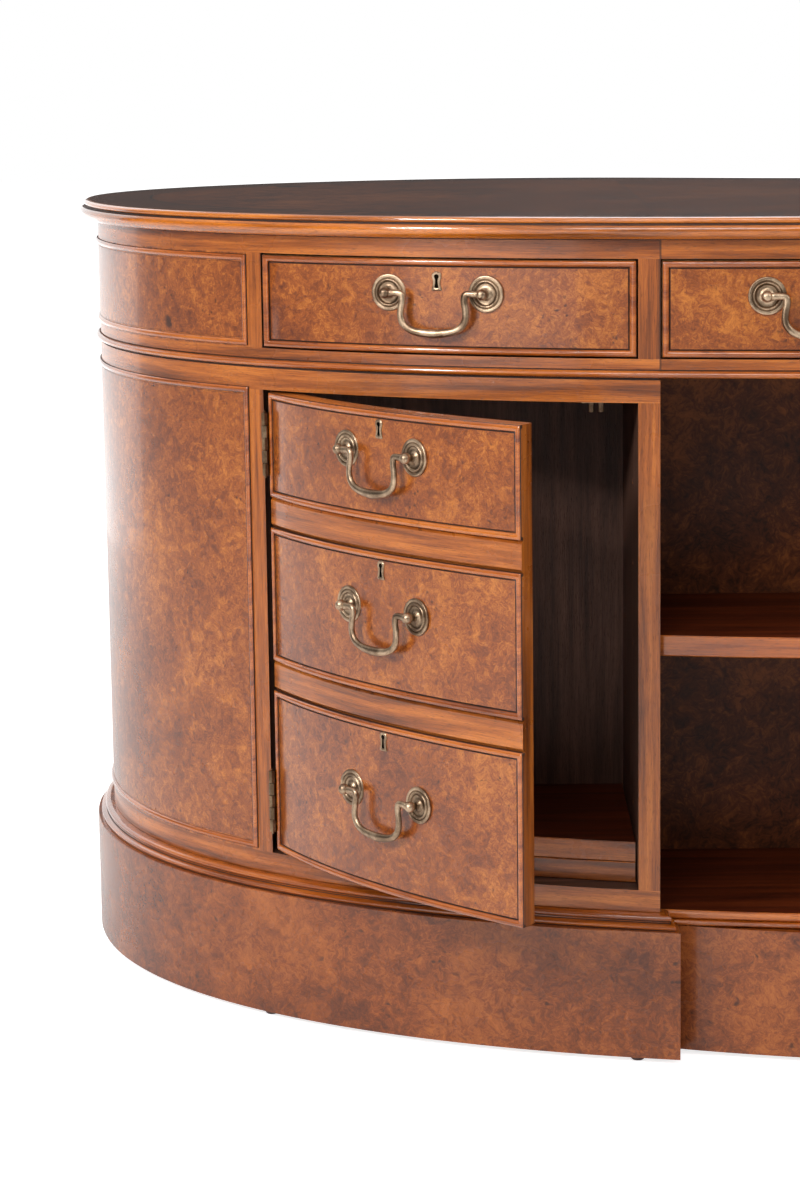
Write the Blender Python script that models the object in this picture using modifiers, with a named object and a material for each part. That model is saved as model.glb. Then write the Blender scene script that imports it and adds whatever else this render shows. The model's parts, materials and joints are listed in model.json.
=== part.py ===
"""Kidney desk: a burr walnut partners' desk on two pedestals, with an open bookcase between them.

The bookcase side faces -Y and bows outward. The sitter's side faces +Y, swells over the two pedestals
and curves in at the kneehole. Metres, +Z up, the floor at zero. The middle of the whole footprint, the
open door included, stands on the origin.

Left and right are those of someone who looks at the bookcase side, so left is -X.
"""

import math

import bmesh
import bpy
import numpy as np
from mathutils import Matrix, Vector

FRONT, BACK = "front", "back"
LEFT, RIGHT = -1, 1

# The kidney outline, taken at the face of the frieze and measured from its widest line
HALF_WIDTH = 0.897
FRONT_DEPTH = 0.577
LOBE_DEPTH = 0.329
LOBE_HALF_WIDTH = 0.479
WAIST_DEPTH = 0.205
# How far each curve's two handles reach, as shares of the sizes that they follow
FRONT_HANDLE_SHARES = (0.623, 0.618)
LOBE_HANDLE_SHARES = (0.545, 0.539)
WAIST_HANDLE_SHARES = (0.384, 0.406)
CURVE_SAMPLES = 90
OUTLINE_STEPS = 29
LOBE_STEPS = 22
END_RADIUS = 0.5

# Levels
HEIGHT = 0.775
TOP_THICKNESS = 0.0195
FRIEZE_HEIGHT = 0.1241
PLINTH_HEIGHT = 0.125
BASE_MOULDING_HEIGHT = 0.014
GLIDE_HEIGHT = 0.005

# Clearances
SEAT_GAP = 0.0003
DRAWER_GAP = 0.0015
DOOR_GAP = 0.002
HINGE_GAP = 0.0026
DOOR_FOOT_GAP = 0.0045
CUTTER_LENGTH = 0.02
SEAT_DEPTH = 0.002
MERGE_LENGTH = 0.00001

# Edge moulding of the top: how far the flat surface stands past the frieze, and how far the moulding adds
TOP_EDGE_WIDTH = 0.0087
TOP_MOULDING_WIDTH = 0.0103
# Shares of the moulding's reach, and of the top's thickness down from the surface
TOP_PROFILE_SHARES = (
    (0.0, 0.0),
    (0.40, 0.04),
    (0.55, 0.18),
    (0.40, 0.28),
    (0.42, 0.34),
    (0.75, 0.37),
    (0.96, 0.48),
    (1.0, 0.61),
    (0.92, 0.76),
    (0.69, 0.90),
    (0.29, 1.0),
)

# Frieze
FRIEZE_TOP_RAIL_HEIGHT = 0.018
FRIEZE_BOTTOM_RAIL_HEIGHT = 0.0171
ASTRAGAL_HEIGHT = 0.0066
ASTRAGAL_DEPTH = 0.0045

# Pedestals, measured outward from the middle of the desk
KNEEHOLE_HALF_WIDTH = 0.341
STILE_WIDTH = 0.0195
FRONT_END_PANEL_WIDTH = 0.1915
BACK_END_PANEL_WIDTH = 0.1915
END_STILE_WIDTH = 0.014
TOP_RAIL_HEIGHT = 0.0225
BOTTOM_RAIL_HEIGHT = 0.0205
CUPBOARD_BACK_DEPTH = 0.272
DRAWER_RAIL_HEIGHT = 0.020

# Beads and fields of the drawer fronts and the end panels
BEAD_WIDTH = 0.006
BEAD_DEPTH = 0.0025
FRONT_THICKNESS = 0.020
PANEL_BEAD_SEAT_DEPTH = 0.004

# Plinths
PLINTH_DEPTH = 0.0174
# Shares of the plinth's reach, and of the moulding's height down from the case
PLINTH_PROFILE_SHARES = (
    (0.22, 0.0),
    (0.53, 0.20),
    (0.46, 0.48),
    (0.77, 0.66),
    (0.72, 0.90),
)
GLIDE_RADIUS = 0.008
GLIDE_FOOT_RADIUS = 0.0055
GLIDE_INSET_DEPTH = 0.012
GLIDE_SEAT_DEPTH = 0.004
GLIDE_SIDES = 8

# Bookcase
BOOKCASE_BACK_DEPTH = 0.309
BOOKCASE_BACK_THICKNESS = 0.012
BOOKCASE_INSET_DEPTH = 0.012
SHELF_THICKNESS = 0.019
SHELF_TOP_HEIGHT = 0.396
CENTRE_PLINTH_DEPTH = 0.582
CENTRE_PLINTH_RADIUS = 1.06
CENTRE_PLINTH_HEIGHT = 0.1235
FLOOR_NOSE_DEPTH = 0.0045
# Shares of how far the nose is cut back, and of the floor's thickness up from its underside
FLOOR_PROFILE_SHARES = (
    (1.0, 0.0),
    (0.1, 0.16),
    (0.3, 0.34),
    (1.0, 0.41),
    (0.1, 0.64),
    (0.0, 0.84),
    (0.55, 1.0),
)

# Door, its dummy drawer fronts from the top down, and its butt hinges
DOOR_OPEN = 27.8
DUMMY_FRONT_SHARES = (0.225, 0.292, 0.355)
DUMMY_RAIL_SHARE = 0.064
GROOVE_WIDTH = 0.003
GROOVE_DEPTH = 0.003
HINGE_LENGTH = 0.060
HINGE_END_SHARE = 0.11
LEAF_THICKNESS = 0.0009
LEAF_WIDTH = 0.016
LEAF_START_DEPTH = 0.0037
KNUCKLE_RADIUS = 0.0032
KNUCKLE_CLEARANCE = 0.0006
KNUCKLES = 5
PIN_RADIUS = 0.0013
PIN_BORE_RADIUS = 0.0017
FINIAL_HEIGHT = 0.002
HINGE_SIDES = 6

# Loose shelves and the catch of each cupboard
LOOSE_SHELF_INSET_DEPTH = 0.0258
SHELF_PLAY_WIDTH = 0.0015
CATCH_PLATE_WIDTH = 0.026
CATCH_PLATE_DEPTH = 0.014
CATCH_PLATE_THICKNESS = 0.003
CATCH_STILE_DISTANCE = 0.036
CATCH_PEG_RADIUS = 0.0026
CATCH_PEG_LENGTH = 0.009
CATCH_PEG_SPACING = 0.009

# Drawers
TRAY_WALL_THICKNESS = 0.010
TRAY_FLOOR_THICKNESS = 0.006
TRAY_DROP_HEIGHT = 0.012
TRAY_PLAY_WIDTH = 0.001
TRAY_JOINT_GAP = 0.0005
FRIEZE_FRONT_POCKET_DEPTH = 0.120
FRIEZE_BACK_POCKET_DEPTH = 0.070
PEDESTAL_POCKET_DEPTH = 0.160
POCKET_PLAY_DEPTH = 0.004
PEDESTAL_DRAWER_SHARES = (0.257, 0.333, 0.410)

# Swan-neck handles: posts turned about the axis that stands out of the wood, and a bail between them
HANDLE_WIDTH = 0.096
HANDLE_RISE_HEIGHT = 0.012
BALL_STAND_DEPTH = 0.0105
BALL_RADIUS = 0.0051
BALL_SLOPE_SHARE = 0.74
ROSE_RADIUS = 0.017
ROSE_THICKNESS = 0.0018
NECK_RADIUS = 0.003
POST_STEPS = 7
BAIL_RADIUS = 0.0024
BAIL_DROP_HEIGHT = 0.0363
# Left half of the bail's centre line: shares of half the width from the post, of the drop, and of the radius
BAIL_SHARES = (
    (0.115, 0.00, 1.2),
    (0.345, 0.03, 0.95),
    (0.345, 0.42, 1.0),
    (0.415, 0.81, 1.05),
    (0.600, 0.945, 0.95),
    (1.0, 1.0, 1.35),
)
CENTRE_HANDLE_DISTANCE = 0.200
# How far the other handles of the bookcase side sit from the middle of their fronts, outward and inward
FRIEZE_HANDLE_SHIFT_WIDTH = 0.0065
DOOR_HANDLE_SHIFT_WIDTH = 0.0035


class Outline:
    """Left half of the kidney, from the middle of the bookcase side, round the end, to the sitter's middle.

    A station runs from 0 to 1 along it, by length and by how much the line has turned, so that stations
    crowd together where it bends most.
    """

    def __init__(self):
        end_share, front_share = FRONT_HANDLE_SHARES
        rise_share, crown_share = LOBE_HANDLE_SHARES
        out_share, in_share = WAIST_HANDLE_SHARES
        end = (-HALF_WIDTH, 0)
        crown = (-LOBE_HALF_WIDTH, LOBE_DEPTH)
        curves = (
            ((0, -FRONT_DEPTH), (-front_share * HALF_WIDTH, -FRONT_DEPTH),
             (-HALF_WIDTH, -end_share * FRONT_DEPTH), end),
            (end, (-HALF_WIDTH, rise_share * LOBE_DEPTH),
             (-LOBE_HALF_WIDTH - crown_share * (HALF_WIDTH - LOBE_HALF_WIDTH), LOBE_DEPTH), crown),
            (crown, (-LOBE_HALF_WIDTH * (1 - out_share), LOBE_DEPTH),
             (-LOBE_HALF_WIDTH * in_share, WAIST_DEPTH), (0, WAIST_DEPTH)),
        )
        points, tangents = zip(*(sampled_bezier(*map(np.array, curve)) for curve in curves))
        self.points = np.concatenate(points)
        tangents = np.concatenate(tangents)
        self.normals = np.stack([-tangents[:, 1], tangents[:, 0]], axis=1)
        lengths = np.linalg.norm(np.diff(self.points, axis=0), axis=1)
        turns = np.linalg.norm(np.diff(tangents, axis=0), axis=1)
        travelled = np.concatenate([[0], np.cumsum(lengths + END_RADIUS * turns)])
        self.stations = travelled / travelled[-1]
        self.end = CURVE_SAMPLES

    def offset_line(self, offset):
        return self.points + offset * self.normals

    def run(self, start, stop, offset, steps):
        """Points along the offset line from one station to another."""
        line = self.offset_line(offset)
        places = np.linspace(start, stop, steps + 1)
        xs = np.interp(places, self.stations, line[:, 0])
        ys = np.interp(places, self.stations, line[:, 1])
        return [(float(x), float(y)) for x, y in zip(xs, ys)]

    def station(self, face, x, offset):
        """Where the offset line of one face is this far from the middle."""
        xs = self.offset_line(offset)[:, 0]
        if face == FRONT:
            return float(np.interp(-abs(x), xs[: self.end + 1][::-1], self.stations[: self.end + 1][::-1]))
        return float(np.interp(-abs(x), xs[self.end:], self.stations[self.end:]))

    def depth(self, face, x, offset):
        """The y of the offset line of one face, this far from the middle."""
        return float(np.interp(self.station(face, x, offset), self.stations, self.offset_line(offset)[:, 1]))

    def edge(self, face, low, high, offset):
        """Points along one face from the lower x to the higher."""
        if low < 0 < high:
            return self.edge(face, low, 0, offset) + self.edge(face, 0, high, offset)[1:]
        if high > 0:
            return mirrored(self.edge(face, -high, -low, offset))
        start = self.station(face, low, offset)
        stop = self.station(face, high, offset)
        steps = max(2, math.ceil(abs(stop - start) * OUTLINE_STEPS))
        return self.run(start, stop, offset, steps)

    def place(self, face, x):
        """The face's point at x and its outward normal there, as a frame whose -Y points outward."""
        station = self.station(face, x, 0)
        point = [float(np.interp(station, self.stations, self.points[:, i])) for i in (0, 1)]
        normal = [float(np.interp(station, self.stations, self.normals[:, i])) for i in (0, 1)]
        if x > 0:
            point[0], normal[0] = -point[0], -normal[0]
        turn = math.atan2(normal[0], -normal[1])
        return Matrix.Translation((*point, 0)) @ Matrix.Rotation(turn, 4, "Z")


def sampled_bezier(start, first, second, stop):
    """Points and unit tangents along a cubic curve."""
    t = np.linspace(0, 1, CURVE_SAMPLES + 1)[:, None]
    points = (1 - t) ** 3 * start + 3 * (1 - t) ** 2 * t * first + 3 * (1 - t) * t**2 * second + t**3 * stop
    slopes = (1 - t) ** 2 * (first - start) + 2 * (1 - t) * t * (second - first) + t**2 * (stop - second)
    return points, slopes / np.linalg.norm(slopes, axis=1)[:, None]


def mirrored(points):
    return [(-x, y) for x, y in reversed(points)]


def strip(face, low, high, outer, inner):
    """A band that follows one face, between two lines offset from it."""
    return OUTLINE.edge(face, low, high, outer) + OUTLINE.edge(face, low, high, inner)[::-1]


def whole_ring(offset):
    left = OUTLINE.run(0, 1, offset, OUTLINE_STEPS)
    return left + mirrored(left)[1:-1]


def pedestal_ring(side, offset):
    """One pedestal's outline, closed by its straight inner side, with everything moved out by the offset."""
    inner = KNEEHOLE_HALF_WIDTH - offset
    start = OUTLINE.station(FRONT, inner, offset)
    stop = OUTLINE.station(BACK, inner, offset)
    points = OUTLINE.run(start, stop, offset, LOBE_STEPS)
    return points if side == LEFT else mirrored(points)


def ordered(side, near, far):
    """The x limits of something between two distances from the middle, lower x first."""
    return (-far, -near) if side == LEFT else (near, far)


def add_object(name, mesh, material, group):
    obj = bpy.data.objects.new(name, mesh)
    obj.data.materials.append(material)
    group.objects.link(obj)
    return obj


def loft(name, rings, material, group):
    """A solid through level rings of points: one face, extruded from each ring to the next."""
    built = bmesh.new()
    points, z = rings[0]
    face = built.faces.new([built.verts.new((x, y, z)) for x, y in points])
    for points, z in rings[1:]:
        grown = bmesh.ops.extrude_face_region(built, geom=[face, *face.edges])["geom"]
        face = next(item for item in grown if isinstance(item, bmesh.types.BMFace))
        for corner, (x, y) in zip(face.verts, points):
            corner.co = (x, y, z)
    bmesh.ops.recalc_face_normals(built, faces=built.faces)
    mesh = bpy.data.meshes.new(name)
    built.to_mesh(mesh)
    built.free()
    return add_object(name, mesh, material, group)


def slab(name, points, low, high, material, group):
    return loft(name, [(points, low), (points, high)], material, group)


def box(name, low, high, material, group):
    """A box between two corners, from a primitive cube."""
    built = bmesh.new()
    size = [b - a for a, b in zip(low, high)]
    middle = [(a + b) / 2 for a, b in zip(low, high)]
    bmesh.ops.create_cube(built, size=1, matrix=Matrix.Translation(middle) @ Matrix.Diagonal((*size, 1)))
    mesh = bpy.data.meshes.new(name)
    built.to_mesh(mesh)
    built.free()
    return add_object(name, mesh, material, group)


def cylinder(name, foot, radius, height, material, group, sides, top_radius=None):
    """An upright cylinder or cone frustum that stands on its foot."""
    built = bmesh.new()
    bmesh.ops.create_cone(
        built, cap_ends=True, segments=sides, radius1=radius,
        radius2=radius if top_radius is None else top_radius, depth=height,
        matrix=Matrix.Translation(Vector(foot) + Vector((0, 0, height / 2))),
    )
    mesh = bpy.data.meshes.new(name)
    built.to_mesh(mesh)
    built.free()
    return add_object(name, mesh, material, group)


def combine(obj, operation, helpers):
    """Joins the helpers to the object, or cuts them from it."""
    for helper in helpers:
        helper.hide_render = True
        helper.display_type = "WIRE"
        modifier = obj.modifiers.new(helper.name, "BOOLEAN")
        modifier.operation = operation
        modifier.object = helper
        modifier.solver = "EXACT"


def settled(obj):
    """Turns an object's modifiers into its mesh, and removes the helpers that only it used."""
    helpers = [modifier.object for modifier in obj.modifiers if modifier.type == "BOOLEAN"]
    bpy.context.view_layer.update()
    mesh = bpy.data.meshes.new_from_object(obj.evaluated_get(bpy.context.evaluated_depsgraph_get()))
    mesh.name = obj.name
    obj.modifiers.clear()
    obj.data = mesh
    for helper in helpers:
        bpy.data.objects.remove(helper)
    return obj


def post_mesh():
    """One handle post: rose, neck and ball, turned about its own Z, which points out of the wood."""
    ball_slope = BALL_SLOPE_SHARE * BALL_RADIUS
    profile = (
        (0, BALL_STAND_DEPTH + BALL_RADIUS),
        (ball_slope, BALL_STAND_DEPTH + ball_slope),
        (BALL_RADIUS, BALL_STAND_DEPTH),
        (NECK_RADIUS, BALL_STAND_DEPTH - ball_slope),
        (NECK_RADIUS, ROSE_THICKNESS),
        (ROSE_RADIUS, ROSE_THICKNESS),
        (ROSE_RADIUS, -SEAT_DEPTH),
        (0, -SEAT_DEPTH),
    )
    mesh = bpy.data.meshes.new("post_profile")
    mesh.from_pydata([(r, 0, z) for r, z in profile], [(i, i + 1) for i in range(len(profile) - 1)], [])
    turned = bpy.data.objects.new("post_profile", mesh)
    HELPERS.objects.link(turned)
    screw = turned.modifiers.new("turn", "SCREW")
    screw.steps = screw.render_steps = POST_STEPS
    screw.use_merge_vertices = True
    screw.merge_threshold = MERGE_LENGTH
    bpy.context.view_layer.update()
    solid = bpy.data.meshes.new_from_object(turned.evaluated_get(bpy.context.evaluated_depsgraph_get()))
    solid.name = "handle_post"
    solid.materials.append(BRASS)
    bpy.data.objects.remove(turned)
    return solid


def bail_mesh():
    """The swan-neck bail, hung in the XZ plane about X, which runs through its two posts."""
    half = HANDLE_WIDTH / 2
    left = [(half * (out - 1), -BAIL_DROP_HEIGHT * down, size) for out, down, size in BAIL_SHARES]
    points = left + [(-x, z, size) for x, z, size in reversed(left[:-1])]
    curve = bpy.data.curves.new("bail", "CURVE")
    curve.dimensions = "3D"
    curve.bevel_depth = BAIL_RADIUS
    curve.bevel_resolution = 1
    curve.use_fill_caps = True
    spline = curve.splines.new("POLY")
    spline.points.add(len(points) - 1)
    for point, (x, z, size) in zip(spline.points, points):
        point.co = (x, 0, z, 1)
        point.radius = size
    guide = bpy.data.objects.new("bail", curve)
    HELPERS.objects.link(guide)
    bpy.context.view_layer.update()
    mesh = bpy.data.meshes.new_from_object(guide.evaluated_get(bpy.context.evaluated_depsgraph_get()))
    bpy.data.objects.remove(guide)
    built = bmesh.new()
    built.from_mesh(mesh)
    bmesh.ops.remove_doubles(built, verts=built.verts, dist=MERGE_LENGTH)
    built.to_mesh(mesh)
    built.free()
    mesh.name = "bail"
    mesh.materials.clear()
    mesh.materials.append(BRASS)
    return mesh


def add_posts(name, place):
    """Two posts at a handle's place, whose -Y points out of the wood."""
    posts = []
    for step in (-1, 1):
        post = bpy.data.objects.new(f"{name}_post", POST)
        post.matrix_world = (
            place @ Matrix.Translation((step * HANDLE_WIDTH / 2, 0, 0)) @ Matrix.Rotation(math.pi / 2, 4, "X")
        )
        HELPERS.objects.link(post)
        posts.append(post)
    return posts


def add_bail(name, place, carrier):
    """A bail hung between two posts, carried by a drawer, or by the pivot of a door."""
    bail = bpy.data.objects.new(name, BAIL)
    PARTS.objects.link(bail)
    bail.parent = carrier
    hung = place @ Matrix.Translation((0, -BALL_STAND_DEPTH, 0))
    bail.matrix_local = carrier.matrix_basis.inverted() @ hung
    return bail


def handle_place(face, x, low, high):
    """Where a handle sits on a front between two levels, with both of its posts on the curved face."""
    along = OUTLINE.place(face, x).col[0].x * HANDLE_WIDTH / 2
    start, stop = (OUTLINE.place(face, x + step * along).translation for step in (-1, 1))
    chord = stop - start
    middle = (start + stop) / 2 + Vector((0, 0, (low + high) / 2 + HANDLE_RISE_HEIGHT))
    return Matrix.Translation(middle) @ Matrix.Rotation(math.atan2(chord.y, chord.x), 4, "Z")


def beaded_cutters(face, low, high, bottom, top, name):
    """What is taken off a front that stands proud all over, so that only its bead does."""
    return slab(
        f"{name}_field", strip(face, low + BEAD_WIDTH, high - BEAD_WIDTH, CUTTER_LENGTH, 0),
        bottom + BEAD_WIDTH, top - BEAD_WIDTH, WALNUT, HELPERS,
    )


def drawer(name, face, low, high, bottom, top, tray_end, handle_xs, tray_apart=False):
    """A drawer with a beaded front that follows the desk's curve. Its tray ends at y = tray_end.

    A long drawer's tray is a node of its own, set against the back of the front.
    """
    outward = -1 if face == FRONT else 1
    seat = bottom + SEAT_GAP
    low, high = low + DRAWER_GAP, high - DRAWER_GAP
    bottom, top = bottom + DRAWER_GAP, top - DRAWER_GAP
    front = slab(name, strip(face, low, high, BEAD_DEPTH, -FRONT_THICKNESS), bottom, top, BURR, PARTS)
    play = 0 if tray_apart else TRAY_PLAY_WIDTH
    tray_low, tray_high = low + play, high - play
    tray_depth = FRONT_THICKNESS + TRAY_JOINT_GAP if tray_apart else FRONT_THICKNESS / 2
    tray_plan = OUTLINE.edge(face, tray_low, tray_high, -tray_depth)
    tray_plan += [(tray_high, tray_end), (tray_low, tray_end)]
    tray_group = PARTS if tray_apart else HELPERS
    tray = slab(f"{name}_tray", tray_plan, seat, top - TRAY_DROP_HEIGHT, WALNUT, tray_group)
    well_low, well_high = tray_low + TRAY_WALL_THICKNESS, tray_high - TRAY_WALL_THICKNESS
    well_plan = OUTLINE.edge(face, well_low, well_high, 0 if tray_apart else -FRONT_THICKNESS)
    well_end = tray_end + outward * TRAY_WALL_THICKNESS
    well_plan += [(well_high, well_end), (well_low, well_end)]
    well = slab(f"{name}_well", well_plan, seat + TRAY_FLOOR_THICKNESS, top + CUTTER_LENGTH, WALNUT, HELPERS)
    places = [handle_place(face, x, bottom, top) for x in handle_xs]
    if tray_apart:
        combine(tray, "DIFFERENCE", [well])
        settled(tray).parent = DESK
    else:
        combine(front, "UNION", [tray])
        combine(front, "DIFFERENCE", [well])
    combine(front, "DIFFERENCE", [beaded_cutters(face, low, high, bottom, top, name)])
    combine(front, "UNION", [post for place in places for post in add_posts(name, place)])
    settled(front)
    front.parent = DESK
    for number, place in enumerate(places, start=1):
        ending = f"_{number}" if len(places) > 1 else ""
        add_bail(f"{name}_bail{ending}", place, front)
    return front


def bead_frame(name, side, bottom, top):
    """The bead round an end panel, which wraps round the desk's end from one face to the other."""
    def band(outer, inner, inset):
        start = OUTLINE.station(FRONT, FRONT_OPENING_REACH + END_STILE_WIDTH + inset, 0)
        stop = OUTLINE.station(BACK, BACK_OPENING_REACH + END_STILE_WIDTH + inset, 0)
        points = OUTLINE.run(start, stop, outer, LOBE_STEPS // 2)
        points += OUTLINE.run(start, stop, inner, LOBE_STEPS // 2)[::-1]
        return points if side == LEFT else [(-x, y) for x, y in points]

    frame = slab(name, band(BEAD_DEPTH, -PANEL_BEAD_SEAT_DEPTH, 0), bottom, top, WALNUT, HELPERS)
    middle = slab(
        f"{name}_middle", band(CUTTER_LENGTH, -CUTTER_LENGTH, BEAD_WIDTH),
        bottom + BEAD_WIDTH, top - BEAD_WIDTH, WALNUT, HELPERS,
    )
    combine(frame, "DIFFERENCE", [middle])
    return settled(frame)


def pocket(name, face, low, high, bottom, top, end):
    """A cutter that opens a case from one face to y = end."""
    points = OUTLINE.edge(face, low, high, CUTTER_LENGTH) + [(high, end), (low, end)]
    return slab(name, points, bottom, top, WALNUT, CUTTERS)


def frieze_openings():
    """Name, face and x limits of the six drawer openings of the frieze."""
    far = {FRONT: FRONT_OPENING_REACH, BACK: BACK_OPENING_REACH}
    for face in (FRONT, BACK):
        for side_name, side in (("left", LEFT), ("right", RIGHT)):
            yield (f"{side_name}_frieze_drawer_{face}", face, *ordered(side, JAMB_DISTANCE, far[face]))
        yield (f"centre_frieze_drawer_{face}", face, -KNEEHOLE_HALF_WIDTH, KNEEHOLE_HALF_WIDTH)


def build_top():
    rings = [
        (whole_ring(TOP_EDGE_WIDTH + out * TOP_MOULDING_WIDTH), HEIGHT - down * TOP_THICKNESS)
        for out, down in TOP_PROFILE_SHARES
    ]
    top = loft("desk_top", rings, BURR, PARTS)
    top.parent = DESK


def build_frieze():
    bottom, top = FRIEZE_LEVEL, HEIGHT - TOP_THICKNESS - SEAT_GAP
    profile = [(0, bottom)]
    for turn in range(5):
        angle = math.pi * turn / 4
        profile.append((
            ASTRAGAL_DEPTH * math.sin(angle), bottom + ASTRAGAL_HEIGHT * (1 - math.cos(angle)) / 2,
        ))
    profile = [profile[0]] + profile[2:-1] + [(0, bottom + ASTRAGAL_HEIGHT), (0, top)]
    case = loft("frieze_case", [(whole_ring(out), z) for out, z in profile], WALNUT, PARTS)
    low, high = bottom + FRIEZE_BOTTOM_RAIL_HEIGHT, HEIGHT - TOP_THICKNESS - FRIEZE_TOP_RAIL_HEIGHT
    for side_name, side in (("left", LEFT), ("right", RIGHT)):
        frame = bead_frame(f"{side_name}_frieze_bead", side, low + DRAWER_GAP, high - DRAWER_GAP)
        combine(case, "UNION", [frame])
    for name, face, near, far in frieze_openings():
        end = -FRIEZE_FRONT_POCKET_DEPTH if face == FRONT else -FRIEZE_BACK_POCKET_DEPTH
        combine(case, "DIFFERENCE", [pocket(f"{name}_pocket", face, near, far, low, high, end)])
        outward = -1 if face == FRONT else 1
        middle = (near + far) / 2
        long = near < 0 < far
        if long:
            handles = (-CENTRE_HANDLE_DISTANCE, CENTRE_HANDLE_DISTANCE)
        elif face == FRONT:
            handles = (middle + math.copysign(FRIEZE_HANDLE_SHIFT_WIDTH, middle),)
        else:
            handles = (middle,)
        drawer(name, face, near, far, low, high, end + outward * POCKET_PLAY_DEPTH, handles, tray_apart=long)
    case.parent = DESK


def pedestal_drawer_levels():
    """Bottom and top of each opening on the sitter's side, from the top down."""
    space = CUPBOARD_TOP - CUPBOARD_FLOOR - (len(PEDESTAL_DRAWER_SHARES) - 1) * DRAWER_RAIL_HEIGHT
    top = CUPBOARD_TOP
    for share in PEDESTAL_DRAWER_SHARES:
        bottom = top - share * space / sum(PEDESTAL_DRAWER_SHARES)
        yield bottom, top
        top = bottom - DRAWER_RAIL_HEIGHT


def build_pedestal(side_name, side):
    ring = pedestal_ring(side, 0)
    case = slab(f"{side_name}_pedestal", ring, CASE_LEVEL + SEAT_GAP, FRIEZE_LEVEL - SEAT_GAP, WALNUT, PARTS)
    case.parent = DESK
    frame = bead_frame(f"{side_name}_panel_bead", side, CUPBOARD_FLOOR + DOOR_GAP, CUPBOARD_TOP + DOOR_GAP)
    combine(case, "UNION", [frame])
    near, far = ordered(side, JAMB_DISTANCE, FRONT_OPENING_REACH)
    combine(case, "DIFFERENCE", [
        pocket(f"{side_name}_cupboard", FRONT, near, far, CUPBOARD_FLOOR, CUPBOARD_TOP, -CUPBOARD_BACK_DEPTH),
    ])
    near, far = ordered(side, JAMB_DISTANCE, BACK_OPENING_REACH)
    for number, (bottom, top) in enumerate(pedestal_drawer_levels(), start=1):
        name = f"{side_name}_pedestal_drawer_{number}"
        opening = pocket(f"{name}_pocket", BACK, near, far, bottom, top, -PEDESTAL_POCKET_DEPTH)
        combine(case, "DIFFERENCE", [opening])
        tray_end = POCKET_PLAY_DEPTH - PEDESTAL_POCKET_DEPTH
        drawer(name, BACK, near, far, bottom, top, tray_end, ((near + far) / 2,))


def build_plinth(side_name, side):
    """A pedestal's plinth: its moulding below the case, its face, and the four glides under it."""
    rings = [
        (pedestal_ring(side, out * PLINTH_DEPTH), CASE_LEVEL - down * BASE_MOULDING_HEIGHT)
        for out, down in PLINTH_PROFILE_SHARES
    ]
    rings += [(pedestal_ring(side, PLINTH_DEPTH), z) for z in (PLINTH_HEIGHT, GLIDE_HEIGHT)]
    plinth = loft(f"{side_name}_plinth", rings[::-1], BURR, PARTS)
    # The bookcase's floor is housed over the plinth's inner side
    back = BOOKCASE_BACK_THICKNESS - BOOKCASE_BACK_DEPTH
    plan = bookcase_plan(KNEEHOLE_HALF_WIDTH, SEAT_GAP - BOOKCASE_INSET_DEPTH, back + SEAT_GAP)
    high = CASE_LEVEL + CUTTER_LENGTH
    housing = slab(f"{side_name}_housing", plan, CENTRE_PLINTH_HEIGHT, high, WALNUT, HELPERS)
    combine(plinth, "DIFFERENCE", [housing])
    glides = []
    inner = JAMB_DISTANCE
    feet = ((FRONT, FRONT_OPENING_REACH), (FRONT, inner), (BACK, BACK_OPENING_REACH), (BACK, inner))
    for number, (face, x) in enumerate(feet):
        station = OUTLINE.station(face, x, 0)
        point, = OUTLINE.run(station, station, PLINTH_DEPTH - GLIDE_INSET_DEPTH, 0)
        point = (-point[0] if side == RIGHT else point[0], point[1], 0)
        glides.append(cylinder(
            f"{side_name}_glide_{number}", point, GLIDE_FOOT_RADIUS, GLIDE_HEIGHT + GLIDE_SEAT_DEPTH,
            WALNUT, HELPERS, sides=GLIDE_SIDES, top_radius=GLIDE_RADIUS,
        ))
    combine(plinth, "UNION", glides)
    settled(plinth).parent = DESK


def bookcase_plan(side, offset, back):
    """The plan of a board of the bookcase, whose front follows the desk's curve."""
    return OUTLINE.edge(FRONT, -side, side, offset) + [(side, back), (-side, back)]


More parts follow.
